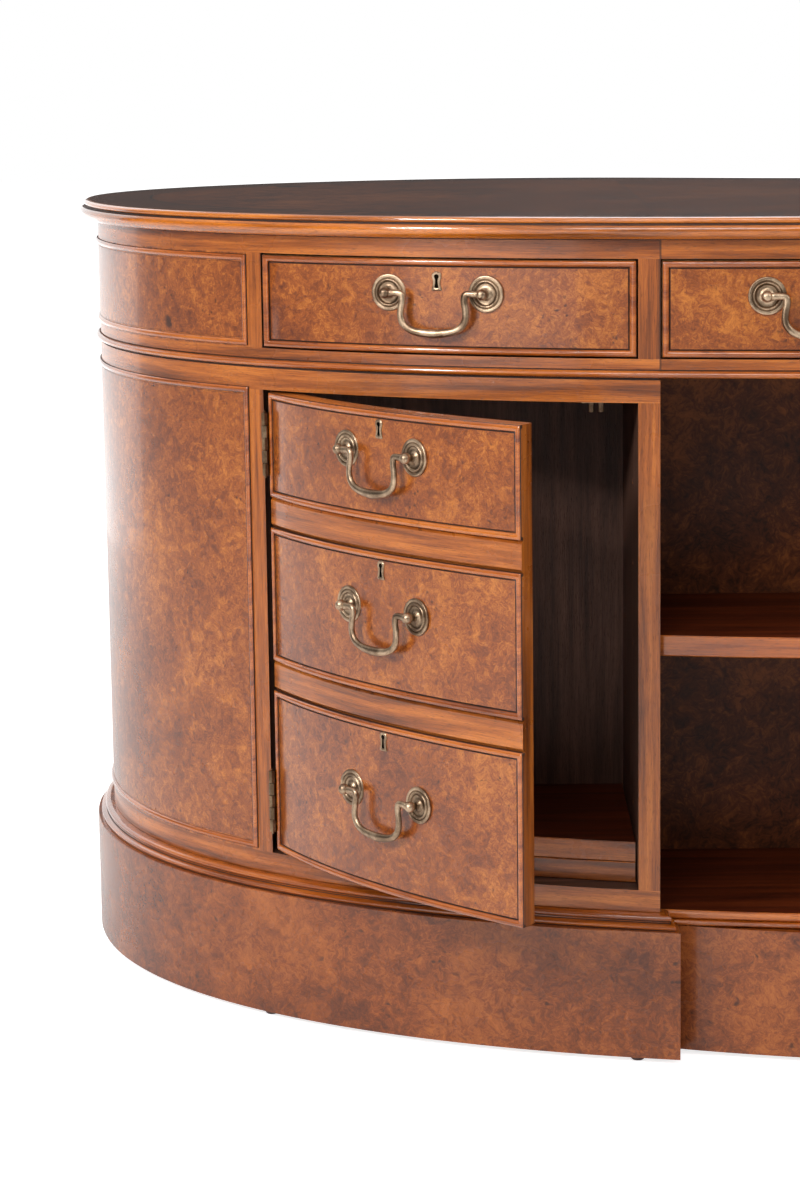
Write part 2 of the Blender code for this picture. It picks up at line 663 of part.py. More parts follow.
def build_bookcase():
    """The open case between the pedestals: floor, back, one shelf and the plinth below."""
    side = KNEEHOLE_HALF_WIDTH - SEAT_GAP
    back = -BOOKCASE_BACK_DEPTH + BOOKCASE_BACK_THICKNESS
    rings = []
    underside = CENTRE_PLINTH_HEIGHT + SEAT_GAP
    for cut, up in FLOOR_PROFILE_SHARES:
        plan = bookcase_plan(side, -BOOKCASE_INSET_DEPTH - cut * FLOOR_NOSE_DEPTH, back)
        rings.append((plan, underside + up * (CASE_LEVEL - underside)))
    floor = loft("bookcase_floor", rings, WALNUT, PARTS)
    low_corner = (-side, -BOOKCASE_BACK_DEPTH, CASE_LEVEL + SEAT_GAP)
    panel = box("bookcase_back", low_corner, (side, back, FRIEZE_LEVEL - SEAT_GAP), BURR, PARTS)
    shelf_plan = bookcase_plan(side, -BOOKCASE_INSET_DEPTH, -BOOKCASE_BACK_DEPTH - SEAT_GAP)
    underside = SHELF_TOP_HEIGHT - SHELF_THICKNESS
    shelf = slab("bookcase_shelf", shelf_plan, underside, SHELF_TOP_HEIGHT, WALNUT, PARTS)
    half = KNEEHOLE_HALF_WIDTH - PLINTH_DEPTH - SEAT_GAP
    bow = []
    for step in range(OUTLINE_STEPS // 2 + 1):
        x = -half + 2 * half * step / (OUTLINE_STEPS // 2)
        sagitta = CENTRE_PLINTH_RADIUS - math.sqrt(CENTRE_PLINTH_RADIUS**2 - x**2)
        bow.append((x, -CENTRE_PLINTH_DEPTH + sagitta))
    plinth = slab(
        "centre_plinth", bow + [(half, back), (-half, back)], GLIDE_HEIGHT, CENTRE_PLINTH_HEIGHT, BURR, PARTS
    )
    for obj in (floor, panel, shelf, plinth):
        obj.parent = DESK


def build_loose_shelves(side_name, side):
    """The two adjustable shelves, lying one on the other on the cupboard's floor."""
    play = SHELF_PLAY_WIDTH
    near, far = ordered(side, JAMB_DISTANCE + play, FRONT_OPENING_REACH - play)
    plan = OUTLINE.edge(FRONT, near, far, -LOOSE_SHELF_INSET_DEPTH)
    plan += [(far, -CUPBOARD_BACK_DEPTH - SHELF_PLAY_WIDTH), (near, -CUPBOARD_BACK_DEPTH - SHELF_PLAY_WIDTH)]
    for number in (1, 2):
        bottom = CUPBOARD_FLOOR + SEAT_GAP * number + SHELF_THICKNESS * (number - 1)
        name = f"{side_name}_loose_shelf_{number}"
        slab(name, plan, bottom, bottom + SHELF_THICKNESS, WALNUT, PARTS).parent = DESK


def build_catch(side_name, side):
    """The double peg catch under the cupboard's top rail, close behind the door."""
    width, depth, height = CATCH_PLATE_WIDTH, CATCH_PLATE_DEPTH, CATCH_PLATE_THICKNESS
    x = side * (JAMB_DISTANCE + CATCH_STILE_DISTANCE)
    face_y = OUTLINE.place(FRONT, x).translation.y
    y = face_y + FRONT_THICKNESS + depth
    top = CUPBOARD_TOP - SEAT_GAP
    plate = box(
        f"{side_name}_catch", (x - width / 2, y - depth / 2, top - height),
        (x + width / 2, y + depth / 2, top), BRASS, PARTS,
    )
    pegs = [
        cylinder(
            f"{side_name}_peg_{number}",
            (x + step * CATCH_PEG_SPACING / 2, y, top - height - CATCH_PEG_LENGTH),
            CATCH_PEG_RADIUS, CATCH_PEG_LENGTH + height / 2, BRASS, HELPERS, sides=GLIDE_SIDES,
        )
        for number, step in enumerate((-1, 1))
    ]
    combine(plate, "UNION", pegs)
    settled(plate).parent = DESK


def hinge_leaf(name, spot, side, on_frame, foot):
    """Half of a butt hinge, built with its knuckles round the origin's Z and its leaf along +Y.

    The frame's leaf has the outer and middle knuckles and the pin, the door's leaf has the two between.
    """
    outward = side if on_frame else -side
    inner_x, outer_x = sorted((outward * SEAT_GAP / 2, outward * (SEAT_GAP / 2 + LEAF_THICKNESS)))
    leaf_end = LEAF_START_DEPTH + LEAF_WIDTH
    leaf = box(
        name, (inner_x, LEAF_START_DEPTH, foot), (outer_x, leaf_end, foot + HINGE_LENGTH), BRASS, PARTS
    )
    knuckle = HINGE_LENGTH / KNUCKLES
    joined = []
    for number in range(0 if on_frame else 1, KNUCKLES, 2):
        low, high = foot + number * knuckle + SEAT_GAP, foot + (number + 1) * knuckle - SEAT_GAP
        joined.append(cylinder(
            f"{name}_knuckle_{number}", (0, 0, low), KNUCKLE_RADIUS, high - low, BRASS, HELPERS,
            sides=HINGE_SIDES,
        ))
        web_end = LEAF_START_DEPTH + LEAF_WIDTH / 4
        joined.append(box(
            f"{name}_web_{number}", (inner_x, PIN_BORE_RADIUS, low), (outer_x, web_end, high), BRASS, HELPERS
        ))
    if on_frame:
        joined.append(cylinder(
            f"{name}_pin", (0, 0, foot - FINIAL_HEIGHT), PIN_RADIUS, HINGE_LENGTH + 2 * FINIAL_HEIGHT,
            BRASS, HELPERS, sides=HINGE_SIDES,
        ))
    combine(leaf, "UNION", joined)
    if not on_frame:
        bore = cylinder(
            f"{name}_bore", (0, 0, foot - CUTTER_LENGTH), PIN_BORE_RADIUS, HINGE_LENGTH + 2 * CUTTER_LENGTH,
            BRASS, HELPERS, sides=HINGE_SIDES,
        )
        combine(leaf, "DIFFERENCE", [bore])
    settled(leaf)
    leaf.parent = spot
    return leaf


def dummy_front_levels(bottom, top):
    """Bottom and top of the door's three dummy drawer fronts, from the top down."""
    height = top - bottom
    shares = sum(DUMMY_FRONT_SHARES) + 2 * DUMMY_RAIL_SHARE
    level = top
    for share in DUMMY_FRONT_SHARES:
        yield level - height * share / shares, level
        level -= height * (share + DUMMY_RAIL_SHARE) / shares


def build_door(side_name, side, opening):
    """A cupboard door faced as three drawers, hung on two butt hinges at its outer edge."""
    near, far = ordered(side, JAMB_DISTANCE + DOOR_GAP, FRONT_OPENING_REACH - HINGE_GAP)
    bottom, top = CUPBOARD_FLOOR + DOOR_FOOT_GAP, CUPBOARD_TOP - DOOR_GAP
    door = slab(
        f"{side_name}_door", strip(FRONT, near, far, BEAD_DEPTH, -FRONT_THICKNESS), bottom, top, BURR, PARTS
    )
    levels = list(dummy_front_levels(bottom, top))
    places = []
    for number, (low, high) in enumerate(levels, start=1):
        name = f"{side_name}_door_front_{number}"
        combine(door, "DIFFERENCE", [beaded_cutters(FRONT, near, far, low, high, name)])
        places.append(handle_place(FRONT, (near + far) / 2 - side * DOOR_HANDLE_SHIFT_WIDTH, low, high))
    for number, ((low, _), (_, high)) in enumerate(zip(levels, levels[1:]), start=1):
        name = f"{side_name}_door_rail_{number}"
        across = (near - CUTTER_LENGTH, far + CUTTER_LENGTH)
        recess = slab(name, strip(FRONT, *across, CUTTER_LENGTH, 0), high, low, WALNUT, HELPERS)
        combine(door, "DIFFERENCE", [recess])
        for end, level in (("high", low - GROOVE_WIDTH), ("low", high)):
            groove = slab(
                f"{name}_groove_{end}", strip(FRONT, *across, CUTTER_LENGTH, -GROOVE_DEPTH),
                level, level + GROOVE_WIDTH, WALNUT, HELPERS,
            )
            combine(door, "DIFFERENCE", [groove])
    for number, place in enumerate(places, start=1):
        combine(door, "UNION", add_posts(f"{side_name}_door_{number}", place))
    settled(door)
    # The pin stands just outside the face, in the middle of the gap between the door and the stile
    corner_y = OUTLINE.depth(FRONT, FRONT_OPENING_REACH - HINGE_GAP, BEAD_DEPTH)
    reach = math.sqrt(KNUCKLE_RADIUS**2 - (HINGE_GAP / 2) ** 2) + KNUCKLE_CLEARANCE
    pin = Vector((side * (FRONT_OPENING_REACH - HINGE_GAP / 2), corner_y - reach, 0))
    frame_spot = bpy.data.objects.new(f"{side_name}_door_frame_side", None)
    door_spot = bpy.data.objects.new(f"{side_name}_door_pivot", None)
    for spot, angle in ((frame_spot, 0), (door_spot, side * opening)):
        PARTS.objects.link(spot)
        spot.parent = DESK
        spot.location = pin
        spot.rotation_euler.z = math.radians(angle)
    door.data.transform(Matrix.Translation(-pin))
    door.parent = door_spot
    for number, share in enumerate((1 - HINGE_END_SHARE, HINGE_END_SHARE), start=1):
        foot = bottom + share * (top - bottom) - HINGE_LENGTH / 2
        hinge_leaf(f"{side_name}_hinge_{number}_frame_leaf", frame_spot, side, True, foot)
        hinge_leaf(f"{side_name}_hinge_{number}_door_leaf", door_spot, side, False, foot)
    for number, place in enumerate(places, start=1):
        bail = add_bail(f"{side_name}_door_bail_{number}", place, DESK)
        bail.parent = door_spot
        bail.matrix_local = Matrix.Translation(-pin) @ place @ Matrix.Translation((0, -BALL_STAND_DEPTH, 0))


def centre_on_origin():
    """Moves the whole desk so that the middle of its footprint, the open door included, is at zero."""
    for helper in (*CUTTERS.objects, *HELPERS.objects):
        helper.parent = DESK
    bpy.context.view_layer.update()
    graph = bpy.context.evaluated_depsgraph_get()
    ys = []
    for obj in PARTS.objects:
        if obj.type == "MESH":
            evaluated = obj.evaluated_get(graph)
            ys += [(evaluated.matrix_world @ vertex.co).y for vertex in evaluated.data.vertices]
    DESK.location.y = -(min(ys) + max(ys)) / 2


def new_group(name):
    group = bpy.data.collections.new(name)
    bpy.context.scene.collection.children.link(group)
    return group


def new_material(name, colour, roughness, metallic):
    material = bpy.data.materials.new(name)
    material.use_nodes = True
    material.diffuse_color = (*colour, 1)
    shader = material.node_tree.nodes["Principled BSDF"]
    shader.inputs["Base Color"].default_value = (*colour, 1)
    shader.inputs["Roughness"].default_value = roughness
    shader.inputs["Metallic"].default_value = metallic
    return material


for leftover in list(bpy.data.objects):
    bpy.data.objects.remove(leftover)

PARTS = new_group("kidney_desk")
CUTTERS = new_group("cutters")
HELPERS = new_group("helpers")
BURR = new_material("burr_walnut", (0.30, 0.12, 0.045), 0.28, 0)
WALNUT = new_material("straight_walnut", (0.22, 0.085, 0.035), 0.32, 0)
BRASS = new_material("antique_brass", (0.42, 0.30, 0.15), 0.35, 1)
DESK = bpy.data.objects.new("desk", None)
PARTS.objects.link(DESK)

OUTLINE = Outline()
JAMB_DISTANCE = KNEEHOLE_HALF_WIDTH + STILE_WIDTH
FRONT_OPENING_REACH = HALF_WIDTH - FRONT_END_PANEL_WIDTH
BACK_OPENING_REACH = HALF_WIDTH - BACK_END_PANEL_WIDTH
CASE_LEVEL = PLINTH_HEIGHT + BASE_MOULDING_HEIGHT
FRIEZE_LEVEL = HEIGHT - TOP_THICKNESS - FRIEZE_HEIGHT
CUPBOARD_FLOOR = CASE_LEVEL + BOTTOM_RAIL_HEIGHT
CUPBOARD_TOP = FRIEZE_LEVEL - TOP_RAIL_HEIGHT
POST = post_mesh()
BAIL = bail_mesh()

build_top()
build_frieze()
build_bookcase()
for which, direction, angle in (("left", LEFT, DOOR_OPEN), ("right", RIGHT, 0)):
    build_pedestal(which, direction)
    build_plinth(which, direction)
    build_loose_shelves(which, direction)
    build_catch(which, direction)
    build_door(which, direction, angle)
centre_on_origin()
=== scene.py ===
"""Looks of the kidney desk: a burr walnut partners' desk with an open bookcase between its pedestals.

The bookcase side faces -Y, the sitter's side +Y. Sizes are in metres, and +Z is up. Curved boards are
modelled flat, in a space where x runs along the board and -y points out of its face, and are then wrapped
round the desk's outline. Each board has a UV map in metres, so that its grain has its real scale.
"""

import json
import logging
import math
from collections import Counter
from collections.abc import Callable, Iterator, Sequence
from contextlib import contextmanager
from dataclasses import dataclass, field
from enum import Enum
from itertools import product

import bpy
import numpy as np
from mathutils import Matrix, Vector

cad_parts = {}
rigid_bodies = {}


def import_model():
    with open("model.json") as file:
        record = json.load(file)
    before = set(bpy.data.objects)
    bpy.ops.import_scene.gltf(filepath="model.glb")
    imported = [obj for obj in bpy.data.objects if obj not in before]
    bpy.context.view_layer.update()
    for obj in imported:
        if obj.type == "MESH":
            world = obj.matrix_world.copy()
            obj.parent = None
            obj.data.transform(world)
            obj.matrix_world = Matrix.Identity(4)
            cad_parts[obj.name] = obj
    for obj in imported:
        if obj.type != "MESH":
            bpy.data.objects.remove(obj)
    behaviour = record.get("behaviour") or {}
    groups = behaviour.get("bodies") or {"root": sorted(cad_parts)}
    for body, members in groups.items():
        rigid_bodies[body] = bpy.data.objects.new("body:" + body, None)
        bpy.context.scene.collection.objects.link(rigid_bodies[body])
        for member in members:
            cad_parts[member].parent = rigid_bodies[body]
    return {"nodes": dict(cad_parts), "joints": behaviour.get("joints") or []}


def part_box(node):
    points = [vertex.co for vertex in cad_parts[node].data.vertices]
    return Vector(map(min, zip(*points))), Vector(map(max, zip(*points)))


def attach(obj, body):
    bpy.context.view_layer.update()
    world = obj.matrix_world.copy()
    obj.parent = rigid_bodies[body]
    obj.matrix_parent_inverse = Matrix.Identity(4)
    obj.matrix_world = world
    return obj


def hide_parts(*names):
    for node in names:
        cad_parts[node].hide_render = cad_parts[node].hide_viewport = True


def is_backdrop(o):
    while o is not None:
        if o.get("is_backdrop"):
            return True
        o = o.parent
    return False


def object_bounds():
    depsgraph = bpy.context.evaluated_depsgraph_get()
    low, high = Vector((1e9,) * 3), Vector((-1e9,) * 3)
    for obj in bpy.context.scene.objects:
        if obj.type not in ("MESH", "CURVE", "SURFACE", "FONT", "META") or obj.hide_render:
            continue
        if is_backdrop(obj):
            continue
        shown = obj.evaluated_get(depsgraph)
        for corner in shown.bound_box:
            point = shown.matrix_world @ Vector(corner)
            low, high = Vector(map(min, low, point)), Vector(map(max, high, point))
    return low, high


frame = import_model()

Pair = tuple[np.ndarray, np.ndarray]
Wrap = Callable[[np.ndarray, np.ndarray], Pair]
Line = Sequence[tuple[float, float]]
Triple = tuple[float, float, float]

CAD_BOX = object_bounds()
LOG = logging.getLogger("kidney_desk")
UV_NAME = "veneer"
DOUBLES = 0.00001
OFFSET_DIGITS = 7
CASE_CREASE = 28.0
BOARD_CREASE = 30.0
BEVEL_LIMIT = 40.0
ACROSS_SHARE = 0.61
BOX_ACROSS_SHARE = 0.37
LINING_DEPTH = 0.0025
LINING_END = 0.01


class Face(Enum):
    """The two long faces of the desk."""

    BOOKCASE = "front"
    SITTER = "back"

    @property
    def outward(self) -> int:
        """The direction along Y in which the face looks."""
        return -1 if self is Face.BOOKCASE else 1


class Side(Enum):
    """The two ends of the desk, as someone sees them who looks at the bookcase."""

    LEFT = -1
    RIGHT = 1

    @property
    def word(self) -> str:
        """The side in the names of pieces."""
        return self.name.lower()


class Slot(Enum):
    """The record's material slots."""

    BURR = "burr_walnut"
    STRAIGHT = "straight_walnut"
    BRASS = "antique_brass"


# Shape helpers


def smooth_run(points: Line, steps: int) -> list[tuple[float, float]]:
    """Returns a rounded line through the points.

    Args:
        points: The points that the line passes.
        steps: How many pieces each stretch between two points gets, where there are three points or more.

    Returns:
        The points of the line, the first and last of them unchanged.
    """
    line = np.array(points, float)
    if len(line) < 3:
        return [tuple(p) for p in line]
    ends = np.vstack([2 * line[0] - line[1], line, 2 * line[-1] - line[-2]])
    out = [tuple(line[0])]
    for a, b, c, d in zip(ends, ends[1:], ends[2:], ends[3:]):
        for step in range(1, steps + 1):
            t = step / steps
            point = 0.5 * (2 * b + (c - a) * t + (2 * a - 5 * b + 4 * c - d) * t**2
                           + (3 * b - a - 3 * c + d) * t**3)
            out.append(tuple(point))
    return out


def moulded(start: Line, runs: Sequence[Line], corner: tuple[float, float], size: tuple[float, float],
            steps: int = 2) -> tuple[list[tuple[float, float]], list[int]]:
    """Adds the runs of a moulding to a profile.

    Args:
        start: The profile's first points.
        runs: The moulding's runs, as shares of its size outward and downward.
        corner: The moulding's inner top corner, as its offset and its level.
        size: The moulding's depth and height.
        steps: How many pieces each stretch of a rounded run gets.

    Returns:
        The profile, and the last row before each run.
    """
    profile, quirks = list(start), []
    for run in runs:
        quirks.append(len(profile) - 1)
        profile += [(corner[0] + out * size[0], corner[1] - down * size[1])
                    for out, down in smooth_run(run, steps)]
    return profile, quirks


def cuts(low: float, high: float, step: float, edges: Sequence[float]) -> np.ndarray:
    """Returns the places where a board is divided.

    Args:
        low: Its lower end.
        high: Its upper end.
        step: The largest distance between two cuts of its field.
        edges: Distances from both ends that get a cut of their own.

    Returns:
        The places in order.
    """
    border = max(edges)
    count = max(1, math.ceil((high - low - 2 * border) / step))
    inner = np.linspace(low + border, high - border, count + 1)
    outer = [low + e for e in edges] + [high - e for e in edges] + [low, high]
    return np.unique(np.round(np.concatenate([inner, outer]), 6))


def border_distance(x: np.ndarray, z: np.ndarray, low: float, high: float, bottom: float,
                    top: float) -> np.ndarray:
    """Returns how far points are inside the edges of a rectangle."""
    return np.minimum(np.minimum(x - low, high - x), np.minimum(z - bottom, top - z))


@dataclass
class Kidney:
    """The outline of the desk at the face of its frieze: three cubic curves for the left half, mirrored."""

    shift: float
    half_width: float
    front_depth: float = 0.577
    lobe_depth: float = 0.329
    lobe_half_width: float = 0.479
    waist_depth: float = 0.205
    front_handles: tuple[float, float] = (0.623, 0.618)
    lobe_handles: tuple[float, float] = (0.545, 0.539)
    waist_handles: tuple[float, float] = (0.384, 0.406)
    samples: int = 400
    points: np.ndarray = field(init=False)
    normals: np.ndarray = field(init=False)
    arcs: np.ndarray = field(init=False)

    def __post_init__(self) -> None:
        """Samples the curves, from the middle of the bookcase side to the middle of the sitter's side."""
        a, xl, yl, yc = self.half_width, self.lobe_half_width, self.lobe_depth, self.waist_depth
        (h1, h2), (r, c), (o, i) = self.front_handles, self.lobe_handles, self.waist_handles
        b = self.front_depth
        curves = (
            ((0, -b), (-h2 * a, -b), (-a, -h1 * b), (-a, 0)),
            ((-a, 0), (-a, r * yl), (-xl - c * (a - xl), yl), (-xl, yl)),
            ((-xl, yl), (-xl * (1 - o), yl), (-i * xl, yc), (0, yc)),
        )
        t = np.linspace(0, 1, self.samples + 1)[:, None]
        points, slopes = [], []
        for curve in curves:
            p, q, u, v = (np.array(point, float) for point in curve)
            points.append((1 - t) ** 3 * p + 3 * (1 - t) ** 2 * t * q + 3 * (1 - t) * t**2 * u + t**3 * v)
            slopes.append((1 - t) ** 2 * (q - p) + 2 * (1 - t) * t * (u - q) + t**2 * (v - u))
        keep = [slice(None), slice(1, None), slice(1, None)]
        self.points = np.concatenate([p[k] for p, k in zip(points, keep)])
        tangents = np.concatenate([s[k] for s, k in zip(slopes, keep)])
        tangents /= np.linalg.norm(tangents, axis=1)[:, None]
        self.normals = np.stack([-tangents[:, 1], tangents[:, 0]], axis=1)
        self.points[:, 1] += self.shift
        steps = np.linalg.norm(np.diff(self.points, axis=0), axis=1)
        self.arcs = np.concatenate([[0], np.cumsum(steps)])

    @property
    def length(self) -> float:
        """The length of half the outline."""
        return float(self.arcs[-1])

    def stretch(self, face: Face) -> slice:
        """The samples of the left half that belong to one face."""
        return slice(0, self.samples + 1) if face is Face.BOOKCASE else slice(self.samples, None)

    def depth(self, face: Face, x: np.ndarray, out: np.ndarray) -> np.ndarray:
        """Returns the y of the lines offset from one face.

        Args:
            face: The face.
            x: Distances from the desk's middle.
            out: How far outside the face each point is.

        Returns:
            The y of each point.
        """
        x, out = np.broadcast_arrays(np.asarray(x, float), np.asarray(out, float))
        part = self.stretch(face)
        y = np.empty(x.shape)
        for value in np.unique(np.round(out, OFFSET_DIGITS)):
            line = self.points[part] + value * self.normals[part]
            order = np.argsort(line[:, 0])
            chosen = np.round(out, OFFSET_DIGITS) == value
            y[chosen] = np.interp(-np.abs(x[chosen]), line[order, 0], line[order, 1])
        return y

    def edge(self, face: Face, x: float, out: float = 0.0) -> float:
        """Returns the y of one point offset from a face."""
        return float(self.depth(face, np.array([x]), np.array([out]))[0])

    def arc(self, face: Face, x: np.ndarray) -> np.ndarray:
        """Returns the length along the face from its middle to each point.

        Args:
            face: The face.
            x: Distances from the desk's middle.

        Returns:
            The lengths, with the sign of x.
        """
        part = self.stretch(face)
        xs, arcs = self.points[part][:, 0], self.arcs[part]
        if face is Face.SITTER:
            arcs = self.arcs[-1] - arcs
        order = np.argsort(xs)
        return np.sign(x) * np.interp(-np.abs(x), xs[order], arcs[order])

    def arc_at(self, face: Face, x: float) -> float:
        """Returns the length along the face from its middle to one point."""
        return float(self.arc(face, np.array([x]))[0])

    def along(self, arc: np.ndarray, out: np.ndarray) -> Pair:
        """Returns the points at lengths along the outline.

        Args:
            arc: Lengths from the bookcase side's middle, negative to the left.
            out: How far outside the outline each point is.

        Returns:
            The x and the y of each point.
        """
        far = np.abs(arc)
        side = np.where(arc > 0, -1.0, 1.0)
        x, y, nx, ny = (np.interp(far, self.arcs, column) for column in (*self.points.T, *self.normals.T))
        size = np.hypot(nx, ny)
        return side * (x + out * nx / size), y + out * ny / size

    def place(self, face: Face, x: float) -> Matrix:
        """Returns the frame of a point on a face.

        Args:
            face: The face.
            x: The point's distance from the desk's middle.

        Returns:
            The frame, whose -Y points outward and whose Z is up.
        """
        part = self.stretch(face)
        order = np.argsort(self.points[part][:, 0])
        columns = (*self.points[part].T, *self.normals[part].T)
        px, py, nx, ny = (float(np.interp(-abs(x), self.points[part][order, 0], c[order])) for c in columns)
        if x > 0:
            px, nx = -px, -nx
        return Matrix.Translation((px, py, 0)) @ Matrix.Rotation(math.atan2(nx, -ny), 4, "Z")


@dataclass
class Sizes:
    """Levels and widths that several sub-assemblies share, the same as in the CAD part."""

    height: float = 0.775
    half_width: float = 0.897
    top_thickness: float = 0.0195
    frieze_height: float = 0.1241
    plinth_height: float = 0.125
    plinth_depth: float = 0.0174
    centre_plinth_height: float = 0.1235
    base_moulding: float = 0.014
    floor_inset: float = 0.012
    glide_height: float = 0.005
    seat_gap: float = 0.0003
    drawer_gap: float = 0.0015
    drawer_rail: float = 0.020
    top_rail: float = 0.0225
    bottom_rail: float = 0.0205
    kneehole: float = 0.341
    stile: float = 0.0195
    end_panel: float = 0.1915
    end_stile: float = 0.014
    front_thickness: float = 0.020
    beyond: float = 1.2

    @property
    def under_top(self) -> float:
        """The underside of the top."""
        return self.height - self.top_thickness

    @property
    def case_level(self) -> float:
        """The top of the plinths."""
        return self.plinth_height + self.base_moulding

    @property
    def frieze_level(self) -> float:
        """The underside of the frieze."""
        return self.height - self.top_thickness - self.frieze_height

    @property
    def cupboard_floor(self) -> float:
        """The floor of the cupboards."""
        return self.case_level + self.bottom_rail

    @property
    def cupboard_top(self) -> float:
        """The top of the cupboards."""
        return self.frieze_level - self.top_rail

    @property
    def jamb(self) -> float:
        """How far the pedestals' openings start from the middle."""
        return self.kneehole + self.stile

    @property
    def reach(self) -> float:
        """How far the pedestals' openings reach from the middle."""
        return self.half_width - self.end_panel

    def opening(self, side: Side) -> list[float]:
        """The x limits of the openings of one pedestal."""
        return sorted((side.value * self.jamb, side.value * self.reach))


# Finishes


def make_group(name: str, inputs: dict[str, float | None], outputs: Sequence[str]) -> bpy.types.NodeTree:
    """Returns a new shader node group with named sockets.

    Args:
        name: The group's name.
        inputs: For each input its default value, or None where it is a vector.
        outputs: The names of its outputs, which are all values.

    Returns:
        The group, with its input and output nodes.
    """
    group = bpy.data.node_groups.new(name, "ShaderNodeTree")
    for label, value in inputs.items():
        kind = "NodeSocketVector" if value is None else "NodeSocketFloat"
        socket = group.interface.new_socket(label, in_out="INPUT", socket_type=kind)
        if value is not None:
            socket.default_value = value
    for label in outputs:
        group.interface.new_socket(label, in_out="OUTPUT", socket_type="NodeSocketFloat")
    group.nodes.new("NodeGroupInput")
    group.nodes.new("NodeGroupOutput")
    return group


@dataclass
class Net:
    """A short way to lay out nodes in a tree."""

    tree: bpy.types.NodeTree

    def put(self, socket: bpy.types.NodeSocket, value: object) -> None:
        """Links an output to a socket, or sets the socket's own value.

        Args:
            socket: The socket.
            value: An output socket, or a plain value.
        """
        if isinstance(value, bpy.types.NodeSocket):
            self.tree.links.new(value, socket)
        else:
            socket.default_value = value

    def node(self, kind: str, inputs: dict[str, object] | None = None, **settings: object) -> bpy.types.Node:
        """Returns a new node.

        Args:
            kind: The node's type, without its ShaderNode.
            inputs: Its inputs, by name.
            settings: Its settings.

        Returns:
            The node.
        """
        made = self.tree.nodes.new(f"ShaderNode{kind}")
        for key, value in settings.items():
            setattr(made, key, value)
        for key, value in (inputs or {}).items():
            self.put(made.inputs[key], value)
        return made

    def computed(self, made: bpy.types.Node, values: Sequence[object]) -> bpy.types.NodeSocket:
        """Returns the first output of a node, whose inputs get the values in order."""
        for socket, value in zip(made.inputs, values):
            self.put(socket, value)
        return made.outputs[0]

    def math(self, operation: str, *values: object, clamp: bool = False) -> bpy.types.NodeSocket:
        """Returns the result of a Math node."""
        return self.computed(self.node("Math", operation=operation, use_clamp=clamp), values)

    def vector(self, operation: str, *values: object) -> bpy.types.NodeSocket:
        """Returns the vector result of a Vector Math node."""
        return self.computed(self.node("VectorMath", operation=operation), values)

    def noise(self, vector: object, scale: float, detail: float = 2.0, rough: float = 0.5,
              warp: float = 0.0) -> bpy.types.NodeSocket:
        """Returns the value of a noise texture."""
        inputs = {"Vector": vector, "Scale": scale, "Detail": detail, "Roughness": rough, "Distortion": warp}
        return self.node("TexNoise", inputs).outputs["Fac"]

    def span(self, value: object, low: float, high: float, to_low: float = 0.0,
             to_high: float = 1.0) -> bpy.types.NodeSocket:
        """Returns a value stretched smoothly from one range to another, and held inside it."""
        inputs = {"Value": value, "From Min": low, "From Max": high, "To Min": to_low, "To Max": to_high}
        return self.node("MapRange", inputs, interpolation_type="SMOOTHSTEP").outputs[0]

    def mix(self, share: object, first: object, second: object) -> bpy.types.NodeSocket:
        """Returns the mix of two colours.

        Args:
            share: How much of the second there is.
            first: The first colour.
            second: The second colour.

        Returns:
            The mixed colour.
        """
        made = self.node("Mix", data_type="RGBA")
        self.put(made.inputs["Factor"], share)
        for key, value in (("A", first), ("B", second)):
            socket = next(s for s in made.inputs if s.name == key and s.type == "RGBA")
            self.put(socket, (*value, 1) if isinstance(value, tuple) else value)
        return next(s for s in made.outputs if s.type == "RGBA")

